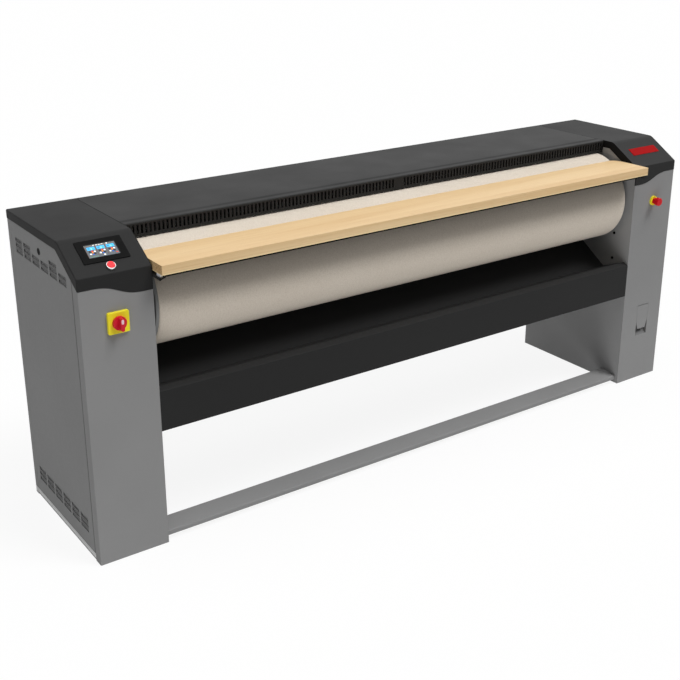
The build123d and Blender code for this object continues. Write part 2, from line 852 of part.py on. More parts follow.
slot_run = middle_half - slot_end_margin - slot_middle_gap / 2
slots_per_side = int(slot_run // slot_pitch) + 1
slot_half_run = (slots_per_side - 1) * slot_pitch / 2
slot_group_x = slot_middle_gap / 2 + slot_half_run
with BuildPart() as vent_grille:
    with BuildSketch(side_plane(-middle_half)):
        Polygon(
            (grille_depth, grille_bottom), (grille_depth, overall_height), (cover_front, overall_height),
            (cover_front, cover_under), (cover_front + tongue, cover_under),
            (cover_front + tongue, cover_under - sheet), (grille_depth + cover_wall, cover_under - sheet),
            (grille_depth + cover_wall, grille_bottom), align=None,
        )
    extrude(amount=2 * middle_half)
    nose = vent_grille.edges().filter_by(Axis.X).sort_by(lambda e: e.center().Z - e.center().Y)[-1]
    fillet(nose, radius=grille_radius)
    with BuildSketch(front_plane(grille_depth - seam)):
        for group_x in (-slot_group_x, slot_group_x):
            with Locations((group_x, slot_bottom + slot_height / 2)):
                with GridLocations(slot_pitch, slot_height, slots_per_side, 1):
                    Rectangle(slot_width, slot_height)
    extrude(amount=-(cover_wall + 2 * seam), mode=Mode.SUBTRACT)
save(vent_grille.part, "vent_grille")

# ---------------------------------------------------------------- feed board
board_half = wall_x - board_end_gap
board_under = board_top - board_thickness
with BuildPart() as feed_board:
    with BuildSketch(level_plane(board_under)):
        with Locations((0, (board_rear - board_reach) / 2)):
            Rectangle(2 * board_half, board_rear + board_reach)
    extrude(amount=board_thickness)
    fillet(feed_board.edges().filter_by(Axis.Z).group_by(Axis.Y)[-1], radius=board_corner)
    # the underside is hollowed over the roll
    with BuildSketch(side_plane(-wall_x)):
        with Locations(roll_place):
            Circle(roll_radius + board_roll_gap)
    extrude(amount=2 * wall_x, mode=Mode.SUBTRACT)
save(feed_board.part, "feed_board")

carrier_half = board_half - pad_length - seam
carrier_under = board_under - carrier_thickness
with BuildPart() as board_carrier:
    with BuildSketch(side_plane(-carrier_half)):
        carrier_front = -board_reach + carrier_setback
        Polygon(
            (carrier_front, carrier_under), (bracket_rear, carrier_under), (bracket_rear, board_under),
            (carrier_front, board_under), align=None,
        )
    extrude(amount=2 * carrier_half)
save(board_carrier.part, "board_carrier")

pad_under = board_under - pad_height
pad_rear = bracket_front + pad_run
with BuildPart() as board_pads:
    for side in SIDE_NAMES:
        with BuildSketch(level_plane(pad_under)):
            with Locations((side * (board_half - pad_length / 2), (bracket_front + pad_rear) / 2)):
                Rectangle(pad_length, pad_run)
        extrude(amount=pad_height)
save(board_pads.part, "board_pads")

shelf_under = pad_under - bracket_thickness
plate_under = pad_under - bracket_drop
plate_over = board_under + bracket_rise
with BuildPart() as board_brackets:
    for side in SIDE_NAMES:
        outer = side * wall_x
        inner = side * (wall_x - bracket_width)
        with BuildSketch(front_plane(bracket_front)):
            Polygon((outer, pad_under), (inner, pad_under), (inner, shelf_under), (outer, shelf_under), align=None)
        extrude(amount=bracket_front - bracket_rear)
        # tapered plate that closes the front
        with BuildSketch(front_plane(bracket_front)):
            Polygon((outer, pad_under), (inner, pad_under), (inner, shelf_under), (outer, plate_under), align=None)
        extrude(amount=bracket_thickness)
        # upright plate on the inner wall
        with BuildSketch(side_plane(outer)):
            Polygon(
                (pad_rear + seam, plate_under), (bracket_rear, plate_under),
                (bracket_rear, plate_over), (pad_rear + seam, plate_over), align=None,
            )
        extrude(amount=-side * bracket_wall)
save(board_brackets.part, "board_brackets")

# ---------------------------------------------------------------- roll
with BuildPart() as roll_drum:
    with BuildSketch(side_plane(-drum_half)):
        with Locations(roll_place):
            Circle(drum_radius)
            Circle(drum_radius - drum_wall, mode=Mode.SUBTRACT)
    extrude(amount=2 * drum_half)
    for side, disc_radius in ((LEFT, flange_radius), (RIGHT, drum_radius)):
        with BuildSketch(side_plane(side * drum_half)):
            with Locations(roll_place):
                Circle(disc_radius)
        extrude(amount=-side * flange_thickness)
        with BuildSketch(side_plane(side * drum_half)):
            with Locations(roll_place):
                Circle(journal_radius)
        extrude(amount=side * (journal_end - drum_half))
    # the left journal is hollow, so that the fan can draw steam through the drum
    with BuildSketch(side_plane(-journal_end)):
        with Locations(roll_place):
            Circle(journal_bore_radius)
    extrude(amount=journal_end - drum_half + flange_thickness, mode=Mode.SUBTRACT)
save(roll_drum.part, "roll_drum")

with BuildPart() as roll_padding:
    with BuildSketch(side_plane(padding_shift - roll_cover_length / 2)):
        with Locations(roll_place):
            Circle(roll_radius)
            Circle(drum_radius, mode=Mode.SUBTRACT)
    extrude(amount=roll_cover_length)
save(roll_padding.part, "roll_padding")


def make_bearing(side):
    """Flanged bearing unit, bolted to the outside of the inner wall."""
    with BuildPart() as bearing:
        with BuildSketch(side_plane(side * wall_outer)):
            with Locations(roll_place):
                RectangleRounded(bearing_plate, bearing_plate, bearing_plate_thickness)
        extrude(amount=side * bearing_plate_thickness)
        with BuildSketch(side_plane(side * wall_outer)):
            with Locations(roll_place):
                Circle(bearing_radius)
        extrude(amount=side * bearing_length)
        rims = bearing.edges().filter_by(GeomType.CIRCLE)
        fillet(rims.sort_by(lambda e: side * e.center().X)[-1], radius=bearing_edge_radius)
        with BuildSketch(side_plane(side * wall_outer)):
            with Locations(roll_place):
                Circle(journal_radius + running_gap)
                with GridLocations(bearing_bolt_spread, bearing_bolt_spread, 2, 2):
                    Circle(bolt_radius)
        extrude(amount=side * bearing_length, mode=Mode.SUBTRACT)
    return bearing.part


for side, word in SIDE_NAMES.items():
    save(make_bearing(side), f"{word}_roll_bearing")


# ---------------------------------------------------------------- chain drive
def pitch_radius(teeth):
    return chain_pitch / (2 * sin(pi / teeth))


def tooth_tip(teeth):
    return pitch_radius(teeth) + tooth_rise


def tooth_reach(teeth):
    """Length of a chain's straight run, from its tangent point, that the teeth still cross."""
    return sqrt((tooth_tip(teeth) + roller_radius) ** 2 - pitch_radius(teeth) ** 2)


def sprocket_face(teeth, bore, place):
    """Sprocket outline about a place in (depth, height), with a roller seat between its teeth."""
    with Locations(place):
        Circle(tooth_tip(teeth))
        Circle(bore, mode=Mode.SUBTRACT)
        with PolarLocations(pitch_radius(teeth), teeth):
            Circle(roller_radius, mode=Mode.SUBTRACT)


drive_place = (sprocket_depth, sprocket_height)
sprocket_start = chain_x - sprocket_width / 2

with BuildPart() as roll_sprocket:
    with BuildSketch(side_plane(sprocket_start)):
        sprocket_face(roll_teeth, journal_radius, roll_place)
        with Locations(roll_place):
            with PolarLocations(web_hole_orbit, web_holes):
                Circle(web_hole_radius, mode=Mode.SUBTRACT)
    extrude(amount=sprocket_width)
save(roll_sprocket.part, "roll_sprocket")

with BuildPart() as drive_sprocket:
    with BuildSketch(side_plane(sprocket_start)):
        sprocket_face(drive_teeth, output_radius, drive_place)
    extrude(amount=sprocket_width)
    with BuildSketch(side_plane(sprocket_start - output_hub)):
        with Locations(drive_place):
            Circle(output_radius)
    extrude(amount=output_hub + gearbox_left + gearbox_width / 2 - sprocket_start)
save(drive_sprocket.part, "drive_sprocket")

with BuildPart() as drive_chain:
    for offset_x in (-1, 1):
        near = sprocket_width / 2 + chain_plate_gap
        with BuildSketch(side_plane(chain_x + offset_x * near)):
            with Locations(roll_place):
                Circle(pitch_radius(roll_teeth) + chain_plate_half)
            with Locations(drive_place):
                Circle(pitch_radius(drive_teeth) + chain_plate_half)
            make_hull()
            with BuildSketch(side_plane(chain_x + offset_x * near), mode=Mode.PRIVATE) as inside:
                with Locations(roll_place):
                    Circle(pitch_radius(roll_teeth) - chain_plate_half)
                with Locations(drive_place):
                    Circle(pitch_radius(drive_teeth) - chain_plate_half)
                make_hull()
            add(inside.sketch_local, mode=Mode.SUBTRACT)
        extrude(amount=offset_x * chain_plate)
    # rollers on the two straight runs
    span_depth = roll_depth - sprocket_depth
    span_height = roll_height - sprocket_height
    span = sqrt(span_depth**2 + span_height**2)
    lean = atan((pitch_radius(roll_teeth) - pitch_radius(drive_teeth)) / span)
    course = atan(span_depth / span_height)
    run_length = sqrt(span**2 - (pitch_radius(roll_teeth) - pitch_radius(drive_teeth)) ** 2)
    first = tooth_reach(drive_teeth)
    rollers = int((run_length - first - tooth_reach(roll_teeth)) // chain_pitch) + 1
    for flank in (-1, 1):
        direction = course + flank * lean
        start_depth = sprocket_depth + flank * pitch_radius(drive_teeth) * cos(direction)
        start_height = sprocket_height - flank * pitch_radius(drive_teeth) * sin(direction)
        with BuildSketch(side_plane(sprocket_start - chain_plate_gap)):
            for index in range(rollers):
                along = first + index * chain_pitch
                with Locations((start_depth + along * sin(direction), start_height + along * cos(direction))):
                    Circle(roller_radius)
        extrude(amount=sprocket_width + 2 * chain_plate_gap)
save(drive_chain.part, "drive_chain")

# ---------------------------------------------------------------- gearmotor and hand-crank end
gearbox_back = gearbox_front + gearbox_depth
gearbox_bottom = crank_height + gearbox_rise - gearbox_height / 2
crank_place = (crank_x, crank_height)
with BuildPart() as gearmotor:
    with BuildSketch(side_plane(gearbox_left)):
        with Locations((gearbox_front + gearbox_depth / 2, gearbox_bottom + gearbox_height / 2)):
            RectangleRounded(gearbox_depth, gearbox_height, gearbox_corner)
    extrude(amount=gearbox_width)
    with BuildSketch(front_plane(gearbox_back)):
        with Locations(crank_place):
            Circle(motor_radius)
    extrude(amount=-motor_length)
    for index in range(fin_count):
        with BuildSketch(front_plane(gearbox_back + fin_setback + index * fin_pitch)):
            with Locations(crank_place):
                Circle(motor_radius + fin_rise)
        extrude(amount=-fin_thickness)
    # feet that stand on the inner wall, below the sprocket
    for depth in (gearbox_front + gearbox_foot_inset, gearbox_back - gearbox_foot_inset):
        with BuildSketch(side_plane(wall_outer)):
            with Locations((depth, gearbox_bottom + gearbox_foot_rise)):
                Rectangle(*gearbox_foot)
        extrude(amount=gearbox_left - wall_outer)
    with BuildSketch(side_plane(gearbox_left)):
        with Locations(drive_place):
            Circle(output_radius + running_gap)
    extrude(amount=gearbox_width / 2 + seam, mode=Mode.SUBTRACT)
    with BuildSketch(front_plane(gearbox_front)):
        with Locations(crank_place):
            Circle(worm_radius + running_gap)
    extrude(amount=-gearbox_depth / 2 - seam, mode=Mode.SUBTRACT)
save(gearmotor.part, "gearmotor")

crank_tip = hatch_depth + crank_setback
with BuildPart() as worm_shaft:
    with BuildSketch(front_plane(gearbox_front + gearbox_depth / 2)):
        with Locations(crank_place):
            Circle(worm_radius)
    extrude(amount=gearbox_depth / 2 + crank_collar)
    with BuildSketch(front_plane(gearbox_front - crank_collar)):
        with Locations(crank_place):
            RegularPolygon(crank_flats / 2, 6, major_radius=False)
    extrude(amount=gearbox_front - crank_collar - crank_tip)
save(worm_shaft.part, "worm_shaft")

pocket_half = hatch_width / 2 + sheet
pocket_place = (crank_x, hatch_bottom + hatch_height / 2)
hinge_place = (hinge_inset, hatch_top - hinge_drop)
with BuildPart() as hatch_pocket:
    with BuildSketch(front_plane(panel_back)):
        with Locations(pocket_place):
            Rectangle(2 * pocket_half, hatch_height + 2 * sheet)
            Rectangle(hatch_width, hatch_height, mode=Mode.SUBTRACT)
    extrude(amount=-(hatch_depth - panel_back))
    with BuildSketch(front_plane(hatch_depth)):
        with Locations(pocket_place):
            Rectangle(2 * pocket_half, hatch_height + 2 * sheet)
        with Locations(crank_place):
            Circle(crank_hole_radius, mode=Mode.SUBTRACT)
    extrude(amount=-sheet)
    # ramp in the finger recess under the flap's tip
    with BuildSketch(side_plane(crank_x - pocket_half)):
        Polygon((panel_back, hatch_bottom), (hatch_depth, hatch_bottom), (hatch_depth, flap_tip), align=None)
    extrude(amount=2 * pocket_half)
    with BuildSketch(side_plane(crank_x - pocket_half)):
        with Locations(hinge_place):
            Circle(hinge_radius + running_gap)
    extrude(amount=2 * pocket_half, mode=Mode.SUBTRACT)
save(hatch_pocket.part, "hatch_pocket")

flap_half = hatch_width / 2 - flap_gap
with BuildPart() as hatch_flap:
    with BuildSketch(front_plane(panel_inset)):
        with Locations((crank_x, 0)):
            Polygon(
                (-flap_half, hatch_top - flap_top_gap), (flap_half, hatch_top - flap_top_gap),
                (flap_half, flap_shoulder), (flap_tip_width / 2, flap_tip),
                (-flap_tip_width / 2, flap_tip), (-flap_half, flap_shoulder), align=None,
            )
    extrude(amount=-sheet)
    # knuckle and pin along the upper edge
    with BuildSketch(side_plane(crank_x - flap_half)):
        with Locations(((panel_back + hinge_inset) / 2, hinge_place[1])):
            Rectangle(hinge_inset - panel_back, 2 * hinge_radius)
    extrude(amount=2 * flap_half)
    with BuildSketch(side_plane(crank_x - pocket_half)):
        with Locations(hinge_place):
            Circle(hinge_radius)
    extrude(amount=2 * pocket_half)
save(hatch_flap.part, "hatch_flap")

# ---------------------------------------------------------------- heated chest
# Drawn in chest_plane's own frame, where the pivot is the origin and the roll's axis is at roll_from_pivot.
roll_from_pivot = (roll_depth - pivot_depth, roll_height - pivot_height)
chest_inner = roll_radius + chest_gap
chest_back = chest_inner + chest_plate
chest_outer = chest_back + chest_body
skin_inner = chest_outer - chest_skin
chest_half = roll_cover_length / 2


def chest_point(radius, angle):
    """Point about the roll's axis in chest_plane's frame, its angle in degrees up from the back."""
    return (
        roll_from_pivot[0] + radius * cos(radians(angle)),
        roll_from_pivot[1] + radius * sin(radians(angle)),
    )


def shell_outline(inner, outer, low_angle, high_angle):
    """Edges round a slice between two arcs about the roll's axis."""
    angles = (low_angle, (low_angle + high_angle) / 2, high_angle)
    with BuildLine() as outline:
        inside = ThreePointArc(*[chest_point(inner, angle) for angle in angles])
        outside = ThreePointArc(*[chest_point(outer, angle) for angle in angles])
        Line(inside @ 0, outside @ 0)
        Line(inside @ 1, outside @ 1)
    return outline.edges()


heater_orbit = chest_back + heater_radius + 4 * running_gap
stave_step = (chest_top_angle - chest_bottom_angle) / stave_count
heater_angles = [chest_bottom_angle + (index + 0.5) * stave_step for index in range(stave_count)]
rib_step = (2 * chest_half - chest_rib_thickness) / (chest_ribs - 1)

with BuildPart() as heated_chest:
    for index in range(stave_count):
        low_angle = chest_bottom_angle + index * stave_step
        high_angle = low_angle + stave_step - degrees(stave_gap / chest_inner)
        wall_angle = degrees(chest_skin / chest_back)
        with BuildSketch(chest_plane(-chest_half)):
            make_face(shell_outline(chest_inner, chest_outer, low_angle, high_angle))
        extrude(amount=2 * chest_half)
        # hollow bays between the ribs
        for rib in range(chest_ribs - 1):
            with BuildSketch(chest_plane(-chest_half + rib * rib_step + chest_rib_thickness)):
                bay = (low_angle + wall_angle, high_angle - wall_angle)
                make_face(shell_outline(chest_back, skin_inner, *bay))
            extrude(amount=rib_step - chest_rib_thickness, mode=Mode.SUBTRACT)
    with BuildSketch(chest_plane(-chest_half)):
        with Locations(*[chest_point(heater_orbit, angle) for angle in heater_angles]):
            Circle(heater_radius + 2 * running_gap)
    extrude(amount=2 * chest_half, mode=Mode.SUBTRACT)
save(heated_chest.part, "heated_chest")

with BuildPart() as chest_heaters:
    with BuildSketch(chest_plane(-chest_half)):
        with Locations(*[chest_point(heater_orbit, angle) for angle in heater_angles]):
            Circle(heater_radius)
    extrude(amount=2 * chest_half)
save(chest_heaters.part, "chest_heaters")

with BuildPart() as chest_pivot_shaft:
    with BuildSketch(chest_plane(-(wall_outer + pivot_reach))):
        Circle(pivot_radius)
    extrude(amount=2 * (wall_outer + pivot_reach))
    arm_step = 2 * arm_spacing / (arm_count - 1)
    for index in range(arm_count):
        x = -arm_spacing + index * arm_step
        with BuildSketch(chest_plane(x - arm_thickness / 2)):
            low = chest_point(chest_outer - seam, arm_low_angle)
            high = chest_point(chest_outer - seam, arm_high_angle)
            knee = chest_point(chest_outer + arm_knee_rise, arm_knee_angle)
            Polygon((-pivot_radius, 0), (pivot_radius, -pivot_radius / 2), knee, high, low, align=None)
            with Locations(roll_from_pivot):
                Circle(chest_outer, mode=Mode.SUBTRACT)
        extrude(amount=arm_thickness)
        with BuildSketch(chest_plane(x - arm_thickness / 2)):
            saddle = (chest_outer, chest_outer + saddle_rise)
            make_face(shell_outline(*saddle, chest_bottom_angle, chest_top_angle))
        extrude(amount=arm_thickness)
    lever_x = -(wall_outer + pivot_reach)
    with BuildSketch(chest_plane(lever_x)):
        Circle(pivot_radius + lever_hub_rise)
        with Locations((lever_length / 2, 0)):
            Rectangle(lever_length + 2 * lever_half_height, 2 * lever_half_height)
    extrude(amount=lever_thickness)
save(chest_pivot_shaft.part, "chest_pivot_shaft")

# ---------------------------------------------------------------- press actuator
lever_turn = radians(-chest_open)
lever_tip_depth = pivot_depth + lever_length * cos(lever_turn)
lever_under = pivot_height + lever_length * sin(lever_turn) - lever_half_height / cos(lever_turn)
actuator_x = lever_x + lever_thickness / 2
actuator_y = front_y + lever_tip_depth
actuator_bottom = pan_height + wall_sheet + actuator_foot_height
actuator_top = actuator_bottom + actuator_length
rod_nose = lever_under - rod_gap
rod_start = actuator_top - rod_sunk
with BuildPart() as press_actuator:
    with BuildSketch(Plane(origin=(actuator_x, actuator_y, actuator_bottom))):
        Rectangle(2 * actuator_radius, 2 * actuator_radius)
    extrude(amount=-actuator_foot_height)
    with BuildSketch(Plane(origin=(actuator_x, actuator_y, actuator_bottom))):
        Circle(actuator_radius)
    extrude(amount=actuator_length)
    with BuildSketch(Plane(origin=(actuator_x, actuator_y, actuator_top))):
        Circle(rod_radius + running_gap)
    extrude(amount=-actuator_bore_length, mode=Mode.SUBTRACT)
save(press_actuator.part, "press_actuator")

with BuildPart() as press_actuator_rod:
    with BuildSketch(Plane(origin=(actuator_x, actuator_y, rod_start))):
        Circle(rod_radius)
    extrude(amount=rod_nose - rod_start)
    fillet(press_actuator_rod.edges().group_by(Axis.Z)[-1], radius=rod_nose_radius)
save(press_actuator_rod.part, "press_actuator_rod")

# ---------------------------------------------------------------- exhaust fan
outlet_run = fan_outlet_end - roll_depth
with BuildPart() as exhaust_fan_housing:
    with BuildSketch(side_plane(fan_x0)):
        with Locations(roll_place):
            Circle(fan_radius)
        with Locations((roll_depth + outlet_run / 2, fan_outlet_middle)):
            Rectangle(outlet_run, fan_outlet_height)
    extrude(amount=-fan_width)
    with BuildSketch(side_plane(fan_x0 - fan_wall)):
        with Locations(roll_place):
            Circle(fan_radius - fan_wall)
        with Locations((roll_depth + outlet_run / 2, fan_outlet_middle)):
            Rectangle(outlet_run, fan_outlet_height - 2 * fan_wall)
    extrude(amount=-(fan_width - 2 * fan_wall), mode=Mode.SUBTRACT)
    with BuildSketch(side_plane(fan_start_x)):
        with Locations(roll_place):
            Circle(fan_inlet_radius)
    extrude(amount=-fan_gap)
    with BuildSketch(side_plane(fan_start_x)):
        with Locations(roll_place):
            Circle(fan_inlet_radius - fan_wall)
    extrude(amount=-fan_gap - fan_wall, mode=Mode.SUBTRACT)
    with BuildSketch(side_plane(fan_x1)):
        with Locations(roll_place):
            Circle(fan_shaft_radius + fan_shaft_gap)
    extrude(amount=fan_wall, mode=Mode.SUBTRACT)
    # posts that carry the housing from the inner wall
    with BuildSketch(side_plane(fan_x0)):
        with Locations(roll_place):
            with PolarLocations(fan_radius - fan_post_inset, fan_posts, start_angle=90):
                Circle(fan_post_radius)
    extrude(amount=-wall_outer - fan_x0)
save(exhaust_fan_housing.part, "exhaust_fan_housing")

with BuildPart() as fan_motor:
    with BuildSketch(side_plane(fan_x1)):
        with Locations(roll_place):
            Circle(fan_motor_radius)
            Circle(fan_shaft_radius + running_gap, mode=Mode.SUBTRACT)
    extrude(amount=-fan_motor_length)
save(fan_motor.part, "fan_motor")

impeller_back = fan_x1 + fan_wall + impeller_gap
with BuildPart() as fan_impeller:
    with BuildSketch(side_plane(impeller_back)):
        with Locations(roll_place):
            Circle(impeller_radius)
    extrude(amount=blade_thickness)
    with BuildSketch(side_plane(impeller_back)):
        with Locations(roll_place):
            with PolarLocations(blade_orbit, blade_count):
                Rectangle(blade_chord, blade_thickness, rotation=blade_twist)
    extrude(amount=impeller_length)
    with BuildSketch(side_plane(impeller_back + impeller_length)):
        with Locations(roll_place):
            Circle(impeller_radius)
            Circle(impeller_eye_radius, mode=Mode.SUBTRACT)
    extrude(amount=blade_thickness)
    with BuildSketch(side_plane(fan_x1 - fan_motor_length / 2)):
        with Locations(roll_place):
            Circle(fan_shaft_radius)
    extrude(amount=impeller_back + impeller_length / 2 - fan_x1 + fan_motor_length / 2)
save(fan_impeller.part, "fan_impeller")

outlet_place = (fan_middle_x, fan_outlet_middle)
duct_end = cabinet_depth + spigot_reach
bead_end = cabinet_depth + seam + duct_bead_length
duct_plate_side = 2 * (duct_radius + duct_plate_rise)
with BuildPart() as exhaust_duct:
    with BuildSketch(front_plane(fan_outlet_end)):
        with Locations(outlet_place):
            Rectangle(duct_plate_side, duct_plate_side)
    extrude(amount=-duct_wall)
    with BuildSketch(front_plane(fan_outlet_end + duct_wall)):
        with Locations(outlet_place):
            Circle(duct_radius)
    extrude(amount=-(duct_end - fan_outlet_end - duct_wall))
    with BuildSketch(front_plane(rear_inner)):
        with Locations(outlet_place):
            Circle(duct_radius + duct_flange_rise)
    extrude(amount=sheet)
    with BuildSketch(front_plane(bead_end)):
        with Locations(outlet_place):
            Circle(duct_radius + duct_bead_rise)
    extrude(amount=duct_bead_length)
    with BuildSketch(front_plane(fan_outlet_end)):
        with Locations(outlet_place):
            Circle(min(duct_radius, fan_outlet_height / 2) - duct_wall)
    extrude(amount=-duct_wall, mode=Mode.SUBTRACT)
    with BuildSketch(front_plane(duct_end)):
        with Locations(outlet_place):
            Circle(duct_radius - duct_wall)
    extrude(amount=duct_end - fan_outlet_end - duct_wall, mode=Mode.SUBTRACT)
save(exhaust_duct.part, "exhaust_duct")

# ---------------------------------------------------------------- electrics
plate_x = -(wall_outer + plate_stand)
plate_place = (plate_front + plate_length / 2, plate_bottom + plate_height / 2)
inverter_place = (inverter_depth, plate_place[1])
with BuildPart() as electrical_plate:
    with BuildSketch(side_plane(plate_x)):
        with Locations(plate_place):
            Rectangle(plate_length, plate_height)
    extrude(amount=-sheet)
    with BuildSketch(side_plane(plate_x)):
        with Locations(plate_place):
            with GridLocations(plate_length - plate_post_margin, plate_height - plate_post_margin, 2, 2):
                Circle(plate_post_radius)
    extrude(amount=plate_stand)
save(electrical_plate.part, "electrical_plate")

with BuildPart() as drive_inverter:
    with BuildSketch(side_plane(plate_x - sheet)):
        with Locations(inverter_place):
            RectangleRounded(inverter_length, inverter_height, inverter_corner)
    extrude(amount=-inverter_reach)
    with BuildSketch(side_plane(plate_x - sheet)):
        with Locations(inverter_place):
            with GridLocations(cooling_slot_pitch, inverter_height, cooling_slots, 1):
                Rectangle(cooling_slot_width, inverter_height)
    extrude(amount=-cooling_slot_depth, mode=Mode.SUBTRACT)
save(drive_inverter.part, "drive_inverter")

# ---------------------------------------------------------------- chute tray
with BuildPart() as chute_tray:
    with BuildSketch(side_plane(-wall_x)):
        with BuildLine():
            FilletPolyline(
                (tray_rear_depth, tray_rear_height), (tray_low_depth, tray_low_height),
                (tray_ridge_depth, tray_ridge_height), (tray_sheet / 2, tray_ridge_height - tray_nose_drop),
                (tray_sheet / 2, apron_bottom), (apron_lip, apron_bottom), radius=tray_bend,
            )
            offset(amount=tray_sheet / 2, side=Side.BOTH)
        make_face()
    extrude(amount=2 * wall_x)
save(chute_tray.part, "chute_tray")

# ---------------------------------------------------------------- foot bar
foot_half = wall_x - foot_end_gap
foot_pin_place = (foot_pin_depth, foot_pin_height)
with BuildPart() as foot_bar:
    with BuildSketch(side_plane(-foot_half)):
        with BuildLine():
            FilletPolyline(
                (foot_back_depth, foot_lip_bottom), (foot_back_depth, foot_back_height),
                (foot_front_depth, foot_front_height), (foot_front_depth, foot_lip_bottom), radius=foot_bend,
            )
            offset(amount=foot_sheet / 2, side=Side.BOTH)
        make_face()
    extrude(amount=2 * foot_half)
    for side in SIDE_NAMES:
        with BuildSketch(side_plane(side * foot_half)):
            Polygon(
                (foot_front_depth, foot_lip_bottom), (foot_back_depth, foot_lip_bottom),
                (foot_back_depth, foot_back_height), (foot_front_depth, foot_front_height), align=None,
            )
        extrude(amount=-side * foot_sheet)
        with BuildSketch(side_plane(side * foot_half)):
            with Locations(foot_pin_place):
                Circle(foot_pin_radius)
        extrude(amount=side * (wall_outer + foot_pin_reach - foot_half))
    # lever on the right pin, inside the cabinet, under the pedal switch
    with BuildSketch(side_plane(wall_outer + foot_pin_reach)):
        with Locations((foot_pin_depth + foot_cam_length / 2, foot_pin_height)):
            Rectangle(foot_cam_length + 2 * foot_pin_radius, foot_cam_height)
    extrude(amount=-foot_cam_thickness)
save(foot_bar.part, "foot_bar")

with BuildPart() as pedal_switch:
    switch_bottom = foot_pin_height + foot_cam_height / 2 + pedal_switch_gap
    with BuildSketch(side_plane(wall_outer)):
        with Locations((foot_pin_depth + foot_cam_length, switch_bottom + pedal_switch_height / 2)):
            Rectangle(pedal_switch_length, pedal_switch_height)
    extrude(amount=foot_pin_reach)
save(pedal_switch.part, "pedal_switch")

# ---------------------------------------------------------------- display
bezel_place = (-control_x, -(bezel_start + bezel_length / 2))
screen_place = (-control_x, -(screen_start + screen_length / 2))
with BuildPart() as display_bezel:
    with BuildSketch(slope_plane()):
        with Locations(bezel_place):
            RectangleRounded(bezel_width, bezel_length, bezel_corner)
    extrude(amount=bezel_thickness)
    with BuildSketch(slope_plane()):
        with Locations(bezel_place):
            Rectangle(display_width, display_length)
    extrude(amount=-display_depth)
    with BuildSketch(slope_plane(bezel_thickness)):
        with Locations(screen_place):
            Rectangle(screen_width, screen_length)
    extrude(amount=-(screen_thickness + screen_sink), mode=Mode.SUBTRACT)
save(display_bezel.part, "display_bezel")

with BuildPart() as display_screen:
    with BuildSketch(slope_plane(bezel_thickness - screen_thickness - screen_sink)):
        with Locations(screen_place):
            Rectangle(screen_width, screen_length)
    extrude(amount=screen_thickness)
save(display_screen.part, "display_screen")

# ---------------------------------------------------------------- stop button
stop_place = (-control_x, -stop_start)
stop_rest_gap = stop_travel + 2 * seam
with BuildPart() as stop_button_ring:
    with BuildSketch(slope_plane(stop_ring_height)):
        with Locations(stop_place):
            Circle(stop_ring_radius)
    extrude(amount=-stop_ring_height)
    crown = stop_button_ring.edges().filter_by(GeomType.CIRCLE).sort_by(Axis.Z)[-1]
    fillet(crown, radius=stop_ring_edge)
    # well for the button, and the sleeve that guides its stem through the cover
    with BuildSketch(slope_plane(stop_ring_height)):
        with Locations(stop_place):
            Circle(stop_radius + button_gap)
    extrude(amount=seam - stop_ring_height, mode=Mode.SUBTRACT)
    with BuildSketch(slope_plane(seam)):
        with Locations(stop_place):
            Circle(stop_sleeve_radius)
    extrude(amount=-seam - stop_sleeve_length)
    with BuildSketch(slope_plane(seam)):
        with Locations(stop_place):
            Circle(stop_stem_radius + running_gap)
    extrude(amount=-seam - stop_sleeve_length, mode=Mode.SUBTRACT)
save(stop_button_ring.part, "stop_button_ring")

with BuildPart() as stop_button:
    with BuildSketch(slope_plane(stop_rest_gap)):
        with Locations(stop_place):
            Circle(stop_radius)
    extrude(amount=stop_height - stop_rest_gap)
    fillet(stop_button.edges().filter_by(GeomType.CIRCLE).sort_by(Axis.Z)[-1], radius=stop_edge)
    with BuildSketch(slope_plane(stop_rest_gap)):
        with Locations(stop_place):
            Circle(stop_stem_radius)
    extrude(amount=-stop_rest_gap - stop_sleeve_length)
save(stop_button.part, "stop_button")

# ---------------------------------------------------------------- main switch
switch_place = (-control_x, control_height)
knob_back = panel_inset - switch_plate_thickness - button_gap
with BuildPart() as switch_plate:
    with BuildSketch(front_plane(panel_inset)):
        with Locations(switch_place):
            RectangleRounded(switch_plate_size, switch_plate_size, switch_plate_corner)
    extrude(amount=switch_plate_thickness)
    fillet(switch_plate.faces().sort_by(Axis.Y)[0].edges(), radius=switch_plate_edge)
    with BuildSketch(front_plane(panel_inset)):
        with Locations(switch_place):
            Circle(switch_shaft_radius + control_hole_gap)
    extrude(amount=switch_plate_thickness, mode=Mode.SUBTRACT)
save(switch_plate.part, "switch_plate")

with BuildPart() as isolator_body:
    with BuildSketch(front_plane(panel_back)):
        with Locations(switch_place):
            RectangleRounded(isolator_width, isolator_height, body_corner)
    extrude(amount=-isolator_depth)
    with BuildSketch(front_plane(panel_back)):
        with Locations(switch_place):
            Circle(switch_shaft_radius + running_gap)
    extrude(amount=-isolator_bore, mode=Mode.SUBTRACT)
save(isolator_body.part, "isolator_body")

with BuildPart() as switch_knob:
    with BuildSketch(front_plane(knob_back)):
        with Locations(switch_place):
            Circle(knob_radius)
    extrude(amount=knob_base)
    with BuildSketch(front_plane(knob_back - knob_base)):
        with Locations(switch_place):
            SlotOverall(knob_bar_length, knob_bar_width, rotation=90)
    extrude(amount=knob_height - knob_base)
    fillet(switch_knob.faces().sort_by(Axis.Y)[0].edges(), radius=knob_edge)
    with BuildSketch(front_plane(knob_back)):
        with Locations(switch_place):
            Circle(switch_shaft_radius)
    extrude(amount=knob_back - panel_back - isolator_bore + seam)
save(switch_knob.part, "switch_knob")

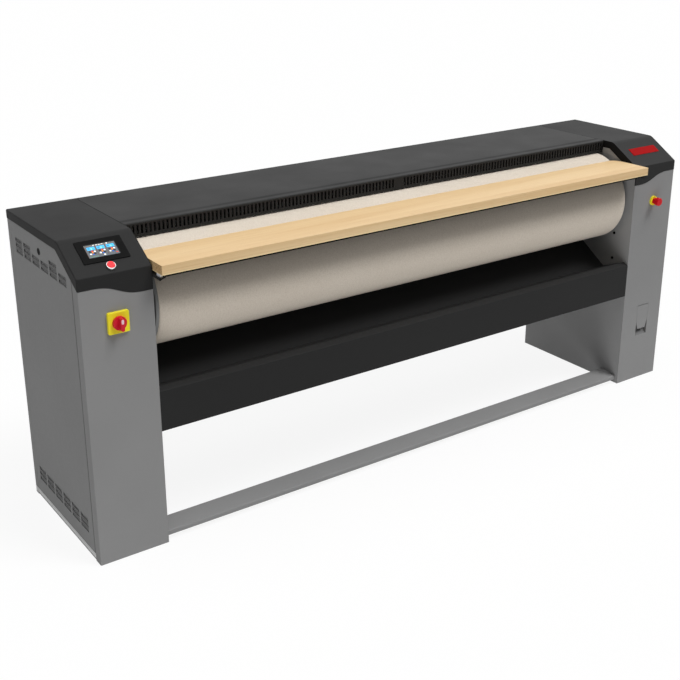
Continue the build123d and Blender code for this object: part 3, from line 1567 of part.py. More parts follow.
# ---------------------------------------------------------------- emergency stop
estop_place = (control_x, control_height)
head_back = panel_inset - estop_reach + estop_head_height
estop_neck_height = estop_reach - estop_head_height - estop_collar_height - estop_travel - seam
with BuildPart() as estop_collar:
    with BuildSketch(front_plane(panel_inset)):
        with Locations(estop_place):
            Circle(estop_collar_radius)
            Circle(estop_stem_radius + button_gap, mode=Mode.SUBTRACT)
    extrude(amount=estop_collar_height)
save(estop_collar.part, "estop_collar")

with BuildPart() as estop_button:
    with BuildSketch(front_plane(head_back)):
        with Locations(estop_place):
            Circle(estop_head_radius)
    extrude(amount=estop_head_height)
    fillet(estop_button.edges().group_by(Axis.Y)[0], radius=estop_head_edge)
    with BuildSketch(front_plane(head_back)):
        with Locations(estop_place):
            Circle(estop_neck_radius)
    extrude(amount=-estop_neck_height)
    with BuildSketch(front_plane(head_back)):
        with Locations(estop_place):
            Circle(estop_stem_radius)
    extrude(amount=head_back - panel_back - estop_stem_sunk)
save(estop_button.part, "estop_button")

with BuildPart() as estop_contact_block:
    with BuildSketch(front_plane(panel_back)):
        with Locations(estop_place):
            RectangleRounded(estop_block_width, estop_block_height, body_corner)
    extrude(amount=-estop_block_depth)
    with BuildSketch(front_plane(panel_back)):
        with Locations(estop_place):
            Circle(estop_stem_radius + running_gap)
    extrude(amount=-(estop_stem_sunk + estop_travel + seam), mode=Mode.SUBTRACT)
save(estop_contact_block.part, "estop_contact_block")

# ---------------------------------------------------------------- badge plate, left bare
with BuildPart() as badge_plate:
    with BuildSketch(slope_plane()):
        with Locations((control_x, -(badge_start + badge_length / 2))):
            RectangleRounded(badge_width, badge_length, badge_corner)
    extrude(amount=badge_thickness)
save(badge_plate.part, "badge_plate")
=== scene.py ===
import json
import math

import bmesh
import bpy
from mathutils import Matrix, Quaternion, Vector


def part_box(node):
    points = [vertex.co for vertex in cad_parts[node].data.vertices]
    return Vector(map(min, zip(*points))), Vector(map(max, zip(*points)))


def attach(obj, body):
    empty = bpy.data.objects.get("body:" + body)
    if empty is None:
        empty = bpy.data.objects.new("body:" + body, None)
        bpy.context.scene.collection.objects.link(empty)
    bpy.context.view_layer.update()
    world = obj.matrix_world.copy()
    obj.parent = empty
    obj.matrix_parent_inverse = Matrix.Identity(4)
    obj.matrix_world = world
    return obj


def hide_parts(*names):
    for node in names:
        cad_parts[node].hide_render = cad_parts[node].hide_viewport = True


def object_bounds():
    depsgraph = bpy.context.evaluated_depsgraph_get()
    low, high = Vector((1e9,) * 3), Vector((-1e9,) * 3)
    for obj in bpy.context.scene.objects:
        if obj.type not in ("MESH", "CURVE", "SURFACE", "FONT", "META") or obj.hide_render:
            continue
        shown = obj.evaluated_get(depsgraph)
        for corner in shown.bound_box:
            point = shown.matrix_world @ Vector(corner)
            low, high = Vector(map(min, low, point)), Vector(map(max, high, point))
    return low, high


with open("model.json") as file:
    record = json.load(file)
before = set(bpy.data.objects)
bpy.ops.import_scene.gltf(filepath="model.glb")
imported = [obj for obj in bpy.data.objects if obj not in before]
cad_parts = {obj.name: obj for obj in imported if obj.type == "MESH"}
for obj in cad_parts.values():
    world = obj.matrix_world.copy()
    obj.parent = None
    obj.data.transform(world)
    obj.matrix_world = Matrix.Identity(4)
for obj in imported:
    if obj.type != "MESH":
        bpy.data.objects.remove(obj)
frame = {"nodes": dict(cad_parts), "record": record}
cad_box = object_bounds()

# Looks of a flatwork ironer. Metres, +X along the roll, +Y to the back, +Z up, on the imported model's frame.
MM = 0.001
NODES = frame["nodes"]
SLOTS = {part["node"]: part["material_slot"] for part in frame["record"]["subparts"]}
LEFT, RIGHT = -1, 1
SIDES = {LEFT: "left", RIGHT: "right"}

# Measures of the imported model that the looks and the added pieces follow
roll_low, roll_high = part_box("roll_padding")
roll_centre = (roll_low + roll_high) / 2
roll_radius = (roll_high.z - roll_low.z) / 2
board_low, board_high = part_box("feed_board")
cover_low, cover_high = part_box("left_top_cover")
front_y, cover_top = cover_low.y, cover_high.z
end_joint = -cover_high.x
grille_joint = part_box("centre_top_cover")[0].y


def add_object(name, data):
    """New object in the scene."""
    made = bpy.data.objects.new(name, data)
    bpy.context.scene.collection.objects.link(made)
    return made


def direction(azimuth, elevation):
    """Unit vector at an azimuth, counted from the front to the right, and an elevation."""
    return Vector((
        math.sin(azimuth) * math.cos(elevation),
        -math.cos(azimuth) * math.cos(elevation),
        math.sin(elevation),
    ))


# ---------------------------------------------------------------- camera
# Fitted to the machine's straight edges in the photograph. Angles in radians, lens and sensor in millimetres.
CAMERA_PLACE = Vector((-2.36018, -3.10141, 1.97231))
CAMERA_AZIMUTH = -0.61247
CAMERA_ELEVATION = 0.34452
CAMERA_ROLL = -0.00085
CAMERA_LENS = 57.85
CAMERA_SENSOR = 36.0
CAMERA_SHIFT = (-0.00515, -0.0751)


def make_camera():
    """The photograph's view, from the front left and above."""
    lens = bpy.data.cameras.new("camera")
    lens.lens = CAMERA_LENS
    lens.sensor_width = CAMERA_SENSOR
    lens.shift_x, lens.shift_y = CAMERA_SHIFT
    camera = add_object("camera", lens)
    camera.location = CAMERA_PLACE
    camera.rotation_mode = "QUATERNION"
    aim = (-direction(CAMERA_AZIMUTH, CAMERA_ELEVATION)).to_track_quat("-Z", "Y")
    camera.rotation_quaternion = aim @ Quaternion((0, 0, 1), CAMERA_ROLL)
    bpy.context.scene.camera = camera


# ---------------------------------------------------------------- node helpers
NOISE_BODY = (0.3, 0.7)     # nearly all values of a noise lie between these
EDGE_SAMPLES = 4
EDGE_RANGE = (0.99, 0.8)    # cosine between the softened and the true normal: on flats, on sharp edges


def tone(text):
    """Linear colour from a six-digit display colour."""
    values = [int(text[i:i + 2], 16) / 255 for i in (0, 2, 4)]
    return tuple(v / 12.92 if v <= 0.04045 else ((v + 0.055) / 1.055) ** 2.4 for v in values)


def scaled(color, factor):
    """A colour times a factor, held at 1."""
    return tuple(min(1.0, channel * factor) for channel in color)


class Nodes:
    """A node tree, with short ways to add nodes and to feed them."""

    def __init__(self, tree):
        self.tree = tree

    def feed(self, target, value):
        """Links a socket to another socket, or sets it to a number or a colour."""
        if isinstance(value, bpy.types.NodeSocket):
            self.tree.links.new(value, target)
        elif isinstance(value, tuple):
            target.default_value = (*value, 1.0)
        else:
            target.default_value = value

    def node(self, kind, inputs=None, **settings):
        """New node with its settings, and with its inputs fed by name or number."""
        made = self.tree.nodes.new(kind)
        for key, value in settings.items():
            setattr(made, key, value)
        for key, value in (inputs or {}).items():
            self.feed(made.inputs[key], value)
        return made

    def math(self, operation, first, second=0.0):
        """Result of an operation on one or two values."""
        return self.node("ShaderNodeMath", {0: first, 1: second}, operation=operation).outputs[0]

    def span(self, value, low, high, to_low=0.0, to_high=1.0):
        """Maps low..high onto to_low..to_high, held at both ends."""
        inputs = {"Value": value, "From Min": low, "From Max": high, "To Min": to_low, "To Max": to_high}
        return self.node("ShaderNodeMapRange", inputs).outputs["Result"]

    def blend(self, factor, first, second):
        """Mix of two colours, each a colour or a socket."""
        inputs = {"Factor": factor, "A": first, "B": second}
        return self.node("ShaderNodeMix", inputs, data_type="RGBA").outputs["Result"]

    def seen_directly(self):
        """1 for camera, glossy and transmission rays."""
        path = self.node("ShaderNodeLightPath")
        seen = path.outputs["Is Camera Ray"]
        for name in ("Is Glossy Ray", "Is Transmission Ray"):
            seen = self.math("MAXIMUM", seen, path.outputs[name])
        return seen


class Finish(Nodes):
    """A material round one Principled shader. Noises count their repeats per metre, depths are in metres."""

    def __init__(self, name, roughness, metallic=0.0, specular=0.5):
        self.material = bpy.data.materials.new(name)
        self.material.use_nodes = True
        super().__init__(self.material.node_tree)
        self.shader = self.tree.nodes["Principled BSDF"]
        self.shader.inputs["Roughness"].default_value = roughness
        self.shader.inputs["Metallic"].default_value = metallic
        self.shader.inputs["Specular IOR Level"].default_value = specular
        self.place = self.node("ShaderNodeTexCoord").outputs["Object"]

    def noise(self, per_metre, detail, stretch=(1, 1, 1), distortion=0.0, rough=0.5):
        """Noise over the place, with each axis scaled by its own factor."""
        mapping = self.node("ShaderNodeMapping", {"Vector": self.place})
        mapping.inputs["Scale"].default_value = stretch
        inputs = {
            "Vector": mapping.outputs["Vector"], "Scale": per_metre, "Detail": detail,
            "Roughness": rough, "Distortion": distortion,
        }
        return self.node("ShaderNodeTexNoise", inputs).outputs["Fac"]

    def mottled(self, noise, color, dark, light):
        """A colour that a noise varies between two multiples of itself."""
        return self.blend(self.span(noise, *NOISE_BODY), scaled(color, dark), scaled(color, light))

    def tinted(self, body, noise, low, high, share, tint):
        """The body colour with a tint, from none of it where the noise is low to a share where it is high."""
        return self.blend(self.span(noise, low, high, 0.0, share), body, tint)

    def color(self, body):
        self.feed(self.shader.inputs["Base Color"], body)

    def glow(self, body, strength):
        """A base colour that also shines."""
        self.color(body)
        self.feed(self.shader.inputs["Emission Color"], body)
        self.shader.inputs["Emission Strength"].default_value = strength

    def roughness(self, noise, low, high, over=NOISE_BODY):
        """Roughness from low to high, as the noise rises over a range."""
        self.feed(self.shader.inputs["Roughness"], self.span(noise, *over, low, high))

    def bump(self, height, depth, strength=1.0, under=None):
        """Bump of a height socket, whose full range is depth metres, over another bump."""
        inputs = {"Strength": strength, "Distance": depth, "Height": height}
        if under is not None:
            inputs["Normal"] = under
        normal = self.node("ShaderNodeBump", inputs).outputs["Normal"]
        self.feed(self.shader.inputs["Normal"], normal)
        return normal

    def along(self, axis):
        """The place's coordinate on an axis."""
        return self.node("ShaderNodeSeparateXYZ", {0: self.place}).outputs[axis]

    def near(self, axis, place, full, fade):
        """1 within full of a plane square to an axis, 0 from fade on. X planes are mirrored."""
        along = self.along(axis)
        if axis == "X":
            along = self.math("ABSOLUTE", along)
        return self.span(self.math("ABSOLUTE", self.math("SUBTRACT", along, place)), full, fade, 1.0, 0.0)

    def within(self, axis, low, high, fade):
        """1 between low and high along an axis, 0 from fade outside them."""
        half = (high - low) / 2
        return self.near(axis, (low + high) / 2, half, half + fade)

    def facing_up(self, low, high):
        """0 where the surface's normal rises by low or less, 1 from high on."""
        normal = self.node("ShaderNodeNewGeometry").outputs["Normal"]
        return self.span(self.node("ShaderNodeSeparateXYZ", {0: normal}).outputs["Z"], low, high)

    def worn_and_highlit_edges(self, radius):
        """1 on sharp outer and inner edges, 0 on flats."""
        soft = self.node("ShaderNodeBevel", {"Radius": radius}, samples=EDGE_SAMPLES).outputs["Normal"]
        sharp = self.node("ShaderNodeNewGeometry").outputs["Normal"]
        match = self.node("ShaderNodeVectorMath", {0: soft, 1: sharp}, operation="DOT_PRODUCT")
        return self.span(match.outputs["Value"], *EDGE_RANGE)


# ---------------------------------------------------------------- materials
PAINT_PEEL = 0.1 * MM
PAINT_EDGE = 1.2 * MM
# Dust on up-facing surfaces, which is also a painted sheen, and lighter towards the right end, a painted
# reflection.
DUST_AND_SHEEN_RISE = (0.5, 0.95)         # rise of a normal at which dust starts to lie, and lies fully
DUST_AND_SHEEN_SPAN = (-1.1, 1.2)         # X at which the dust has its left and its right tone
BAND_REACH = (0.4, 1.3)         # shares of its width at which a band starts to fade, and is gone
BAND_TONE = 0.3
BOARD_END = (0.5 * MM, 1.5 * MM)                # depth of the end grain: full, gone
# Painted highlight: a paler band along the board's lower edges.
BOARD_LOWER_HIGHLIGHT = (2.2 * MM, 3.8 * MM)         # height of the pale lower edge: full, gone
BOARD_LOWER_HIGHLIGHT_SHARE = 0.8
BOARD_RIM, BOARD_RIM_SHARE = 1.5 * MM, 0.35
CLOTH_THREADS = 700.0           # threads per metre
CLOTH_SHEEN, CLOTH_SHEEN_ROUGHNESS = 0.08, 0.5
SPANGLES_PER_METRE = 70
# Glow of the stop cap: painted light.
CAP_PAINTED_GLOW = 0.45
SCREEN_GLOW = 0.5


def paint(name, color, roughness=0.72, specular=0.22, patches=()):
    """Powder coat: fine orange peel, slight cloudiness, lighter edges that are partly rubbed wear and partly
    painted highlight, and patches of other tones.

    A patch is (a function from the finish to its mask, tint, share of the tint); the patches in use are
    painted light and shade.
    """
    finish = Finish(name, roughness, specular=specular)
    clouds = finish.noise(2.5, detail=3)
    body = finish.mottled(clouds, color, dark=0.96, light=1.04)
    specks = finish.noise(2600, detail=1)
    body = finish.tinted(body, specks, 0.62, 0.8, share=0.35, tint=scaled(color, 1.25))
    for mask, tint, share in patches:
        body = finish.blend(finish.math("MULTIPLY", mask(finish), share), body, tint)
    # Lighter edges: rubbed wear, and partly a painted highlight along every sharp edge.
    wear_and_highlight = finish.span(finish.noise(35, detail=4), 0.4, 0.7, 0.1, 0.5)
    rubbed_and_highlit = finish.math("MULTIPLY", finish.worn_and_highlit_edges(PAINT_EDGE), wear_and_highlight)
    finish.color(finish.blend(rubbed_and_highlit, body, scaled(color, 1.5)))
    finish.roughness(finish.noise(60, detail=4), roughness - 0.05, roughness + 0.06)
    finish.bump(finish.noise(900, detail=2), PAINT_PEEL)
    return finish.material


def moulded(name, color, roughness, specular=0.5, grain=0.06 * MM, grain_scale=1500, dust_and_sheen=None, bands=()):
    """Moulded or sheet surface: leather-fine texture, faint scuffs, dust and painted sheen where it faces up,
    bands of painted shade.

    dust_and_sheen is (tone at the left, tone at the right). A band is (axis, place, width, share) of painted
    shade, in a joint's seam or on a skirt that the light hardly reaches.
    """
    finish = Finish(name, roughness, specular=specular)
    haze = finish.noise(6, detail=4)
    body = finish.mottled(haze, color, dark=0.93, light=1.07)
    scuffs = finish.noise(40, detail=6, stretch=(1, 6, 6), distortion=0.6)
    body = finish.tinted(body, scuffs, 0.62, 0.72, share=0.25, tint=scaled(color, 1.3))
    # Dust where the surface faces up, also a painted sheen that makes tops lighter than sides; its lighter
    # tone at the right end is a painted reflection.
    if dust_and_sheen is not None:
        patchy = finish.span(haze, *NOISE_BODY, 0.92, 1.0)
        dust_and_sheen_share = finish.math("MULTIPLY", finish.facing_up(*DUST_AND_SHEEN_RISE), patchy)
        across = finish.span(finish.along("X"), *DUST_AND_SHEEN_SPAN)
        body = finish.blend(dust_and_sheen_share, body, finish.blend(across, *dust_and_sheen))
    # Painted shade in bands along seams and on the outer skirts.
    for axis, place, width, share in bands:
        reach = [part * width for part in BAND_REACH]
        painted_shade = finish.math("MULTIPLY", finish.near(axis, place, *reach), share)
        body = finish.blend(painted_shade, body, scaled(color, BAND_TONE))
    finish.color(body)
    finish.roughness(haze, roughness - 0.04, roughness + 0.05)
    finish.bump(finish.noise(grain_scale, detail=2), grain)
    return finish.material


def wood(name):
    """Beech-like board: long fine grain along X, broader bands, dark end grain, satin varnish."""
    light, mid, dark = tone("efd0a0"), tone("e3bf8b"), tone("cda06c")
    finish = Finish(name, roughness=0.42, specular=0.45)
    bands = finish.noise(16, detail=4, stretch=(0.05, 1, 1.4), distortion=0.4)
    body = finish.tinted(light, bands, 0.35, 0.68, share=1.0, tint=mid)
    fibre = finish.noise(420, detail=5, stretch=(0.012, 1, 1), rough=0.6)
    body = finish.tinted(body, fibre, 0.5, 0.78, share=0.55, tint=dark)
    pores = finish.noise(900, detail=2, stretch=(0.03, 1, 1))
    body = finish.tinted(body, pores, 0.66, 0.76, share=0.45, tint=scaled(dark, 0.8))
    rings = finish.noise(260, detail=4, stretch=(1, 0.5, 1.6), rough=0.7)
    at_end = finish.near("X", board_high.x, *BOARD_END)
    end_grain = finish.math("MULTIPLY", at_end, finish.span(rings, 0.42, 0.6, 0.15, 0.8))
    body = finish.blend(end_grain, body, scaled(dark, 0.62))
    # Painted highlight along the lower edges, paler than the wood.
    lower_highlight = finish.math("MULTIPLY", finish.near("Z", board_low.z, *BOARD_LOWER_HIGHLIGHT), BOARD_LOWER_HIGHLIGHT_SHARE)
    body = finish.blend(lower_highlight, body, scaled(light, 1.25))
    # Lighter rims on the edges: wear, and partly a painted highlight.
    rim = finish.math("MULTIPLY", finish.worn_and_highlit_edges(BOARD_RIM), BOARD_RIM_SHARE)
    finish.color(finish.blend(rim, body, scaled(light, 1.1)))
    finish.roughness(fibre, 0.38, 0.52, over=(0.3, 0.8))
    finish.bump(fibre, depth=0.15 * MM, strength=0.6)
    return finish.material


def cloth(name, centre, radius):
    """Woven roll cover: threads along the roll and round it, fine slubs round it and a soft nap."""
    pale, dark = tone("eae0d2"), tone("d2c4b3")
    finish = Finish(name, roughness=0.95, specular=0.05)
    finish.shader.inputs["Sheen Weight"].default_value = CLOTH_SHEEN
    finish.shader.inputs["Sheen Roughness"].default_value = CLOTH_SHEEN_ROUGHNESS
    rise = finish.math("SUBTRACT", finish.along("Z"), centre.z)
    reach = finish.math("SUBTRACT", finish.along("Y"), centre.y)
    turn = finish.math("ARCTAN2", rise, reach)
    around = finish.math("SINE", finish.math("MULTIPLY", turn, CLOTH_THREADS * math.pi * radius))
    along = finish.math("SINE", finish.math("MULTIPLY", finish.along("X"), CLOTH_THREADS * math.pi))
    weave = finish.math("MULTIPLY", around, along)
    slubs = finish.noise(420, detail=2, stretch=(1, 0.2, 0.2))
    speckle = finish.noise(300, detail=3)
    patches = finish.noise(3, detail=2)
    body = finish.blend(finish.span(slubs, 0.38, 0.66, 0.05, 0.3), pale, dark)
    body = finish.tinted(body, speckle, 0.45, 0.68, share=0.4, tint=scaled(dark, 0.88))
    body = finish.tinted(body, patches, 0.4, 0.7, share=0.12, tint=dark)
    finish.color(finish.tinted(body, weave, -1.0, 1.0, share=0.2, tint=scaled(dark, 0.8)))
    under = finish.bump(weave, depth=0.4 * MM, strength=0.5)
    under = finish.bump(speckle, depth=0.6 * MM, strength=0.35, under=under)
    dents = finish.noise(7, detail=3, stretch=(1, 0.4, 0.4))
    finish.bump(dents, depth=2 * MM, strength=0.2, under=under)
    return finish.material


def brushed(name, color, roughness=0.32):
    """Rolled or turned metal with fine lines and dull patches."""
    finish = Finish(name, roughness, metallic=1.0)
    lines = finish.noise(60, detail=5, stretch=(1, 30, 30))
    body = finish.mottled(lines, color, dark=0.88, light=1.08)
    dull = finish.noise(9, detail=4)
    finish.color(finish.tinted(body, dull, 0.5, 0.75, share=0.3, tint=scaled(color, 0.7)))
    finish.roughness(lines, roughness - 0.08, roughness + 0.12)
    finish.bump(lines, depth=0.04 * MM, strength=0.5)
    return finish.material


def cast(name, color):
    """Sand-cast metal under machine enamel: coarse skin, oil-dark patches."""
    finish = Finish(name, roughness=0.5, metallic=0.3)
    grain = finish.noise(420, detail=4)
    body = finish.mottled(grain, color, dark=0.85, light=1.1)
    grime = finish.noise(14, detail=5)
    finish.color(finish.tinted(body, grime, 0.5, 0.72, share=0.6, tint=scaled(color, 0.45)))
    finish.roughness(grain, 0.42, 0.6)
    finish.bump(grain, depth=0.4 * MM, strength=0.7)
    return finish.material


def spangled(name, color):
    """Hot-dip zinc: crystal spangles of differing grey."""
    finish = Finish(name, roughness=0.4, metallic=0.9)
    crystals = finish.node("ShaderNodeTexVoronoi", {"Vector": finish.place, "Scale": SPANGLES_PER_METRE})
    greys = finish.node("ShaderNodeSeparateColor", {0: crystals.outputs["Color"]}).outputs
    finish.color(finish.blend(greys[0], scaled(color, 0.75), scaled(color, 1.1)))
    finish.roughness(greys[1], 0.3, 0.5, over=(0.0, 1.0))
    finish.bump(crystals.outputs["Distance"], depth=0.1 * MM, strength=0.3)
    return finish.material


def polished(name, color):
    """Chrome with faint handling haze."""
    finish = Finish(name, roughness=0.12, metallic=1.0)
    haze = finish.noise(220, detail=4)
    finish.color(finish.mottled(haze, color, dark=0.92, light=1.0))
    finish.roughness(haze, 0.08, 0.22, over=(0.35, 0.75))
    finish.bump(haze, depth=0.02 * MM, strength=0.3)
    return finish.material


def glowing_cap(name, color):
    """Translucent push cap that glows though no lamp is behind it: painted light that makes it brighter."""
    finish = Finish(name, roughness=0.3, specular=0.3)
    haze = finish.noise(120, detail=3)
    finish.glow(finish.mottled(haze, color, dark=0.92, light=1.0), CAP_PAINTED_GLOW)
    finish.roughness(haze, 0.26, 0.36)
    finish.bump(haze, depth=0.03 * MM, strength=0.3)
    return finish.material


def screen_glass(name, color):
    """Lit display under hardened glass: fine pixel rows and finger haze."""
    finish = Finish(name, roughness=0.16, specular=0.15)
    rows = finish.noise(3000, detail=0, stretch=(0.2, 1, 1))
    finish.glow(finish.mottled(rows, color, dark=0.9, light=1.08), SCREEN_GLOW)
    finger_haze = finish.noise(70, detail=4)
    finish.roughness(finger_haze, 0.08, 0.3, over=(0.4, 0.7))
    finish.bump(finish.noise(200, detail=2), depth=0.01 * MM, strength=0.2)
    return finish.material


# ---------------------------------------------------------------- marks on the panels
# Vents of the side panels, as they are cut in the model: middles of the slots, from the covers' front and
# from the floor. The upper group has its top row in the tall columns only.
VENT_FIRST, VENT_PITCH, VENT_COUNT = 111 * MM, 72.3 * MM, 6
VENT_COLUMNS = [VENT_FIRST + VENT_PITCH * k for k in range(VENT_COUNT)]
VENT_LENGTH, VENT_HEIGHT, VENT_ROW_PITCH = 57 * MM, 9 * MM, 19.5 * MM
UPPER_VENTS, LOWER_VENTS = cover_top - 102.5 * MM, 105 * MM
TALL_COLUMNS = (1, 4, 5)
VENT_SHADE_REACH = 4 * MM


def vent_rows(middle, column):
    """Heights of the slots in a column of the group whose middle row is at that height."""
    rows = (-1, 0) if middle == UPPER_VENTS and column not in TALL_COLUMNS else (-1, 0, 1)
    return [middle + VENT_ROW_PITCH * row for row in rows]


def vent_stacks():
    """Every column of slots in a side panel, as (its front end, heights of its slots)."""
    for middle in (UPPER_VENTS, LOWER_VENTS):
        for column, depth in enumerate(VENT_COLUMNS):
            yield front_y + depth - VENT_LENGTH / 2, vent_rows(middle, column)


def vent_shade(finish):
    """Painted shade round each column of slots, where louvres would lie in shade."""
    total = None
    for start, rows in vent_stacks():
        wide = finish.within("Y", start, start + VENT_LENGTH, VENT_SHADE_REACH)
        tall = finish.within("Z", rows[0] - VENT_HEIGHT / 2, rows[-1] + VENT_HEIGHT / 2, VENT_SHADE_REACH)
        stack = finish.math("MULTIPLY", wide, tall)
        total = stack if total is None else finish.math("MAXIMUM", total, stack)
    patchy = finish.span(finish.noise(160, detail=3), *NOISE_BODY, 0.6, 1.0)
    return finish.math("MULTIPLY", total, patchy)


# Heights of the painted highlight along the foot of the outer sides, and its fade.
PLINTH_HIGHLIGHT, PLINTH_HIGHLIGHT_FADE = (8 * MM, 27 * MM), 0.5 * MM
# Heights of the painted shadow line over it, and its fade.
PLINTH_SHADOW, PLINTH_SHADOW_FADE = (28 * MM, 30 * MM), 1 * MM
PANEL_FOLD = 3 * MM
OUTER_SIDE = (cad_box[1].x - 20 * MM, cad_box[1].x - 15 * MM)


def outside(finish):
    """1 on the outer sides of the cabinets."""
    return finish.span(finish.math("ABSOLUTE", finish.along("X")), *OUTER_SIDE)


def plinth_highlight(finish):
    """Painted highlight along the foot of the cabinet's outer side, as from a ledge lit from above."""
    return finish.math("MULTIPLY", outside(finish), finish.within("Z", *PLINTH_HIGHLIGHT, PLINTH_HIGHLIGHT_FADE))


def plinth_shadow(finish):
    """Painted shadow line over the painted highlight, under the side panel's lower edge."""
    return finish.math("MULTIPLY", outside(finish), finish.within("Z", *PLINTH_SHADOW, PLINTH_SHADOW_FADE))


def corner_shade(finish):
    """Painted shade in the open joint between the side panel and the front panel's return."""
    return finish.near("Y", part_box("left_side_panel")[0].y, PANEL_FOLD, 2 * PANEL_FOLD)


# Bands of painted shade: in the end joint's seam, on the covers' outer skirts, and in the seam in front of
# the grille.
END_JOINT_BAND = ("X", end_joint, 2 * MM, 1.0)
OUTER_SKIRT_BAND = ("X", cad_box[1].x, 1 * MM, 0.35)
GRILLE_JOINT_BAND = ("Y", grille_joint + 4.5 * MM, 12 * MM, 1.0)
# Dust tones at the left and the right end; the lighter right end is a painted reflection.
COVER_DUST_AND_SHEEN = (tone("2b2b2b"), tone("363636"))
MIDDLE_DUST_AND_SHEEN = (tone("2c2c2c"), tone("383838"))
# Patches of painted light and shade on the frame and side paints.
FRAME_PATCHES = [(plinth_highlight, tone("f6f6f6"), 1.0)]
SIDE_PATCHES = [
    (vent_shade, tone("585858"), 1.0),
    (corner_shade, tone("606060"), 0.6),
    (plinth_highlight, tone("e0e0e0"), 1.0),
    (plinth_shadow, tone("606060"), 0.8),
]

FINISHES = {
    "frame_paint": paint("frame_paint", tone("a2a2a2"), patches=FRAME_PATCHES),
    "panel_paint": paint("panel_paint", tone("909090")),
    "side_paint": paint("side_paint", tone("8e8e8e"), patches=SIDE_PATCHES),
    "cover_plastic": moulded(
        "cover_plastic", tone("292929"), roughness=0.68, specular=0.11,
        dust_and_sheen=COVER_DUST_AND_SHEEN, bands=[END_JOINT_BAND, OUTER_SKIRT_BAND],
    ),
    "cover_metal": moulded(
        "cover_metal", tone("262626"), roughness=0.6, specular=0.12, grain=0.05 * MM,
        dust_and_sheen=MIDDLE_DUST_AND_SHEEN, bands=[END_JOINT_BAND, GRILLE_JOINT_BAND],
    ),
    "board_wood": wood("board_wood"),
    "black_sheet": moulded("black_sheet", tone("262626"), roughness=0.7, specular=0.14),
    "pad_plastic": moulded("pad_plastic", tone("f2f2f6"), roughness=0.4),
    "black_plastic": moulded("black_plastic", tone("0d0d0d"), roughness=0.6, specular=0.05),
    "screen_glass": screen_glass("screen_glass", tone("5c6268")),
    "chrome_trim": polished("chrome_trim", tone("d8dcdc")),
    "yellow_plastic": moulded("yellow_plastic", tone("ffec2a"), roughness=0.45, specular=0.3),
    "red_plastic": moulded("red_plastic", tone("d0101c"), roughness=0.34, specular=0.16),
    "badge_plastic": moulded("badge_plastic", tone("a00609"), roughness=0.5, specular=0.06),
    "cast_metal": cast("cast_metal", tone("6f7478")),
    "steel": brushed("steel", tone("8f9092")),
    "black_steel": moulded("black_steel", tone("0a0a0a"), roughness=0.6, specular=0.04),
    "galvanised": spangled("galvanised", tone("a9adb0")),
    "foot_rubber": moulded(
        "foot_rubber", tone("202020"), roughness=0.75, specular=0.3, grain=0.2 * MM, grain_scale=500,
    ),
    "roll_cloth": cloth("roll_cloth", roll_centre, roll_radius),
    "chest_aluminium": brushed("chest_aluminium", tone("b9bbbd"), roughness=0.28),
    "foot_paint": paint("foot_paint", tone("8e8e8e")),
}
NODE_FINISHES = {
    "roll_drum": paint("drum_paint", tone("8c8d8c"), roughness=0.6, specular=0.2),
    "stop_button": glowing_cap("stop_cap", tone("ff3038")),
    "switch_knob": moulded("knob_plastic", tone("d81c34"), roughness=0.34, specular=0.25),
    "hatch_pocket": paint("pocket_paint", tone("7a7a7a"), roughness=0.6, specular=0.1),
}


def dress_nodes():
    """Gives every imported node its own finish, or else the finish of its material slot."""
    for name, node in NODES.items():
        for slot in node.material_slots:
            slot.material = NODE_FINISHES.get(name, FINISHES[SLOTS[name]])


# ---------------------------------------------------------------- mesh helpers
SHARP_FROM = math.radians(35)


def piece(name, build, slot, looks=None, body="machine", smooth=True):
    """New piece whose mesh is filled in by build(bm), in the row frame, riding on a body.

    Its looks are those of its material slot where none are given.
    """
    mesh = bpy.data.meshes.new(name)
    bm = bmesh.new()
    build(bm)
    bmesh.ops.recalc_face_normals(bm, faces=bm.faces)
    bm.to_mesh(mesh)
    bm.free()
    for material in looks or [FINISHES[slot]]:
        mesh.materials.append(material)
    made = add_object(name, mesh)
    if smooth:
        mesh.shade_smooth()
        mesh.set_sharp_from_angle(angle=SHARP_FROM)
    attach(made, body)
    return made


def ring_of(bm, points):
    """New vertices at the points."""
    return [bm.verts.new(point) for point in points]


def skin(bm, first, second):
    """Quads between two equal rings of vertices."""
    faces = []
    for i in range(len(first)):
        j = (i + 1) % len(first)
        faces.append(bm.faces.new((first[i], first[j], second[j], second[i])))
    return faces


def lathe(bm, profile, place_of, turns):
    """Closed surface of revolution of (along, radius) pairs, placed by place_of(along, radius, angle)."""
    angles = [math.tau * k / turns for k in range(turns)]
    rings = [ring_of(bm, [place_of(along, radius, angle) for angle in angles]) for along, radius in profile]
    for first, second in zip(rings, rings[1:] + rings[:1]):
        skin(bm, first, second)


def axis_place(centre, axis):
    """Place of (along, radius, angle) round an axis through a centre."""
    side = axis.orthogonal().normalized()
    up = axis.cross(side)

    def place(along, radius, angle):
        return centre + axis * along + (side * math.cos(angle) + up * math.sin(angle)) * radius

    return place


def prism(bm, outline, lift, index=0):
    """Closed plate or bar: an outline and its copy moved by lift, with the skin between them."""
    low = ring_of(bm, outline)
    high = ring_of(bm, [point + lift for point in outline])
    faces = [bm.faces.new(low[::-1]), bm.faces.new(high)] + skin(bm, low, high)
    for face in faces:
        face.material_index = index


def bar(bm, section, start, run):
    """Closed bar along Y on a section of (x, z) pairs."""
    prism(bm, [Vector((x, start, z)) for x, z in section], Vector((0, run, 0)))


# ---------------------------------------------------------------- roll cloth
CLOTH_ROUND = 7 * MM
CLOTH_ROUND_STEPS = 6
CLOTH_THICKNESS = 14.5 * MM
CLOTH_TURNS = 160
CLOTH_STEPS = 60
CLOTH_SAG = 0.35 * MM
CLOTH_SKIN = 1 * MM                 # depth of the surface that is wavy
CLOTH_WAVE_ALONG, CLOTH_WAVE_ROUND, CLOTH_SWELL = 9, 3, 2.3     # radians per metre, per radian, per metre


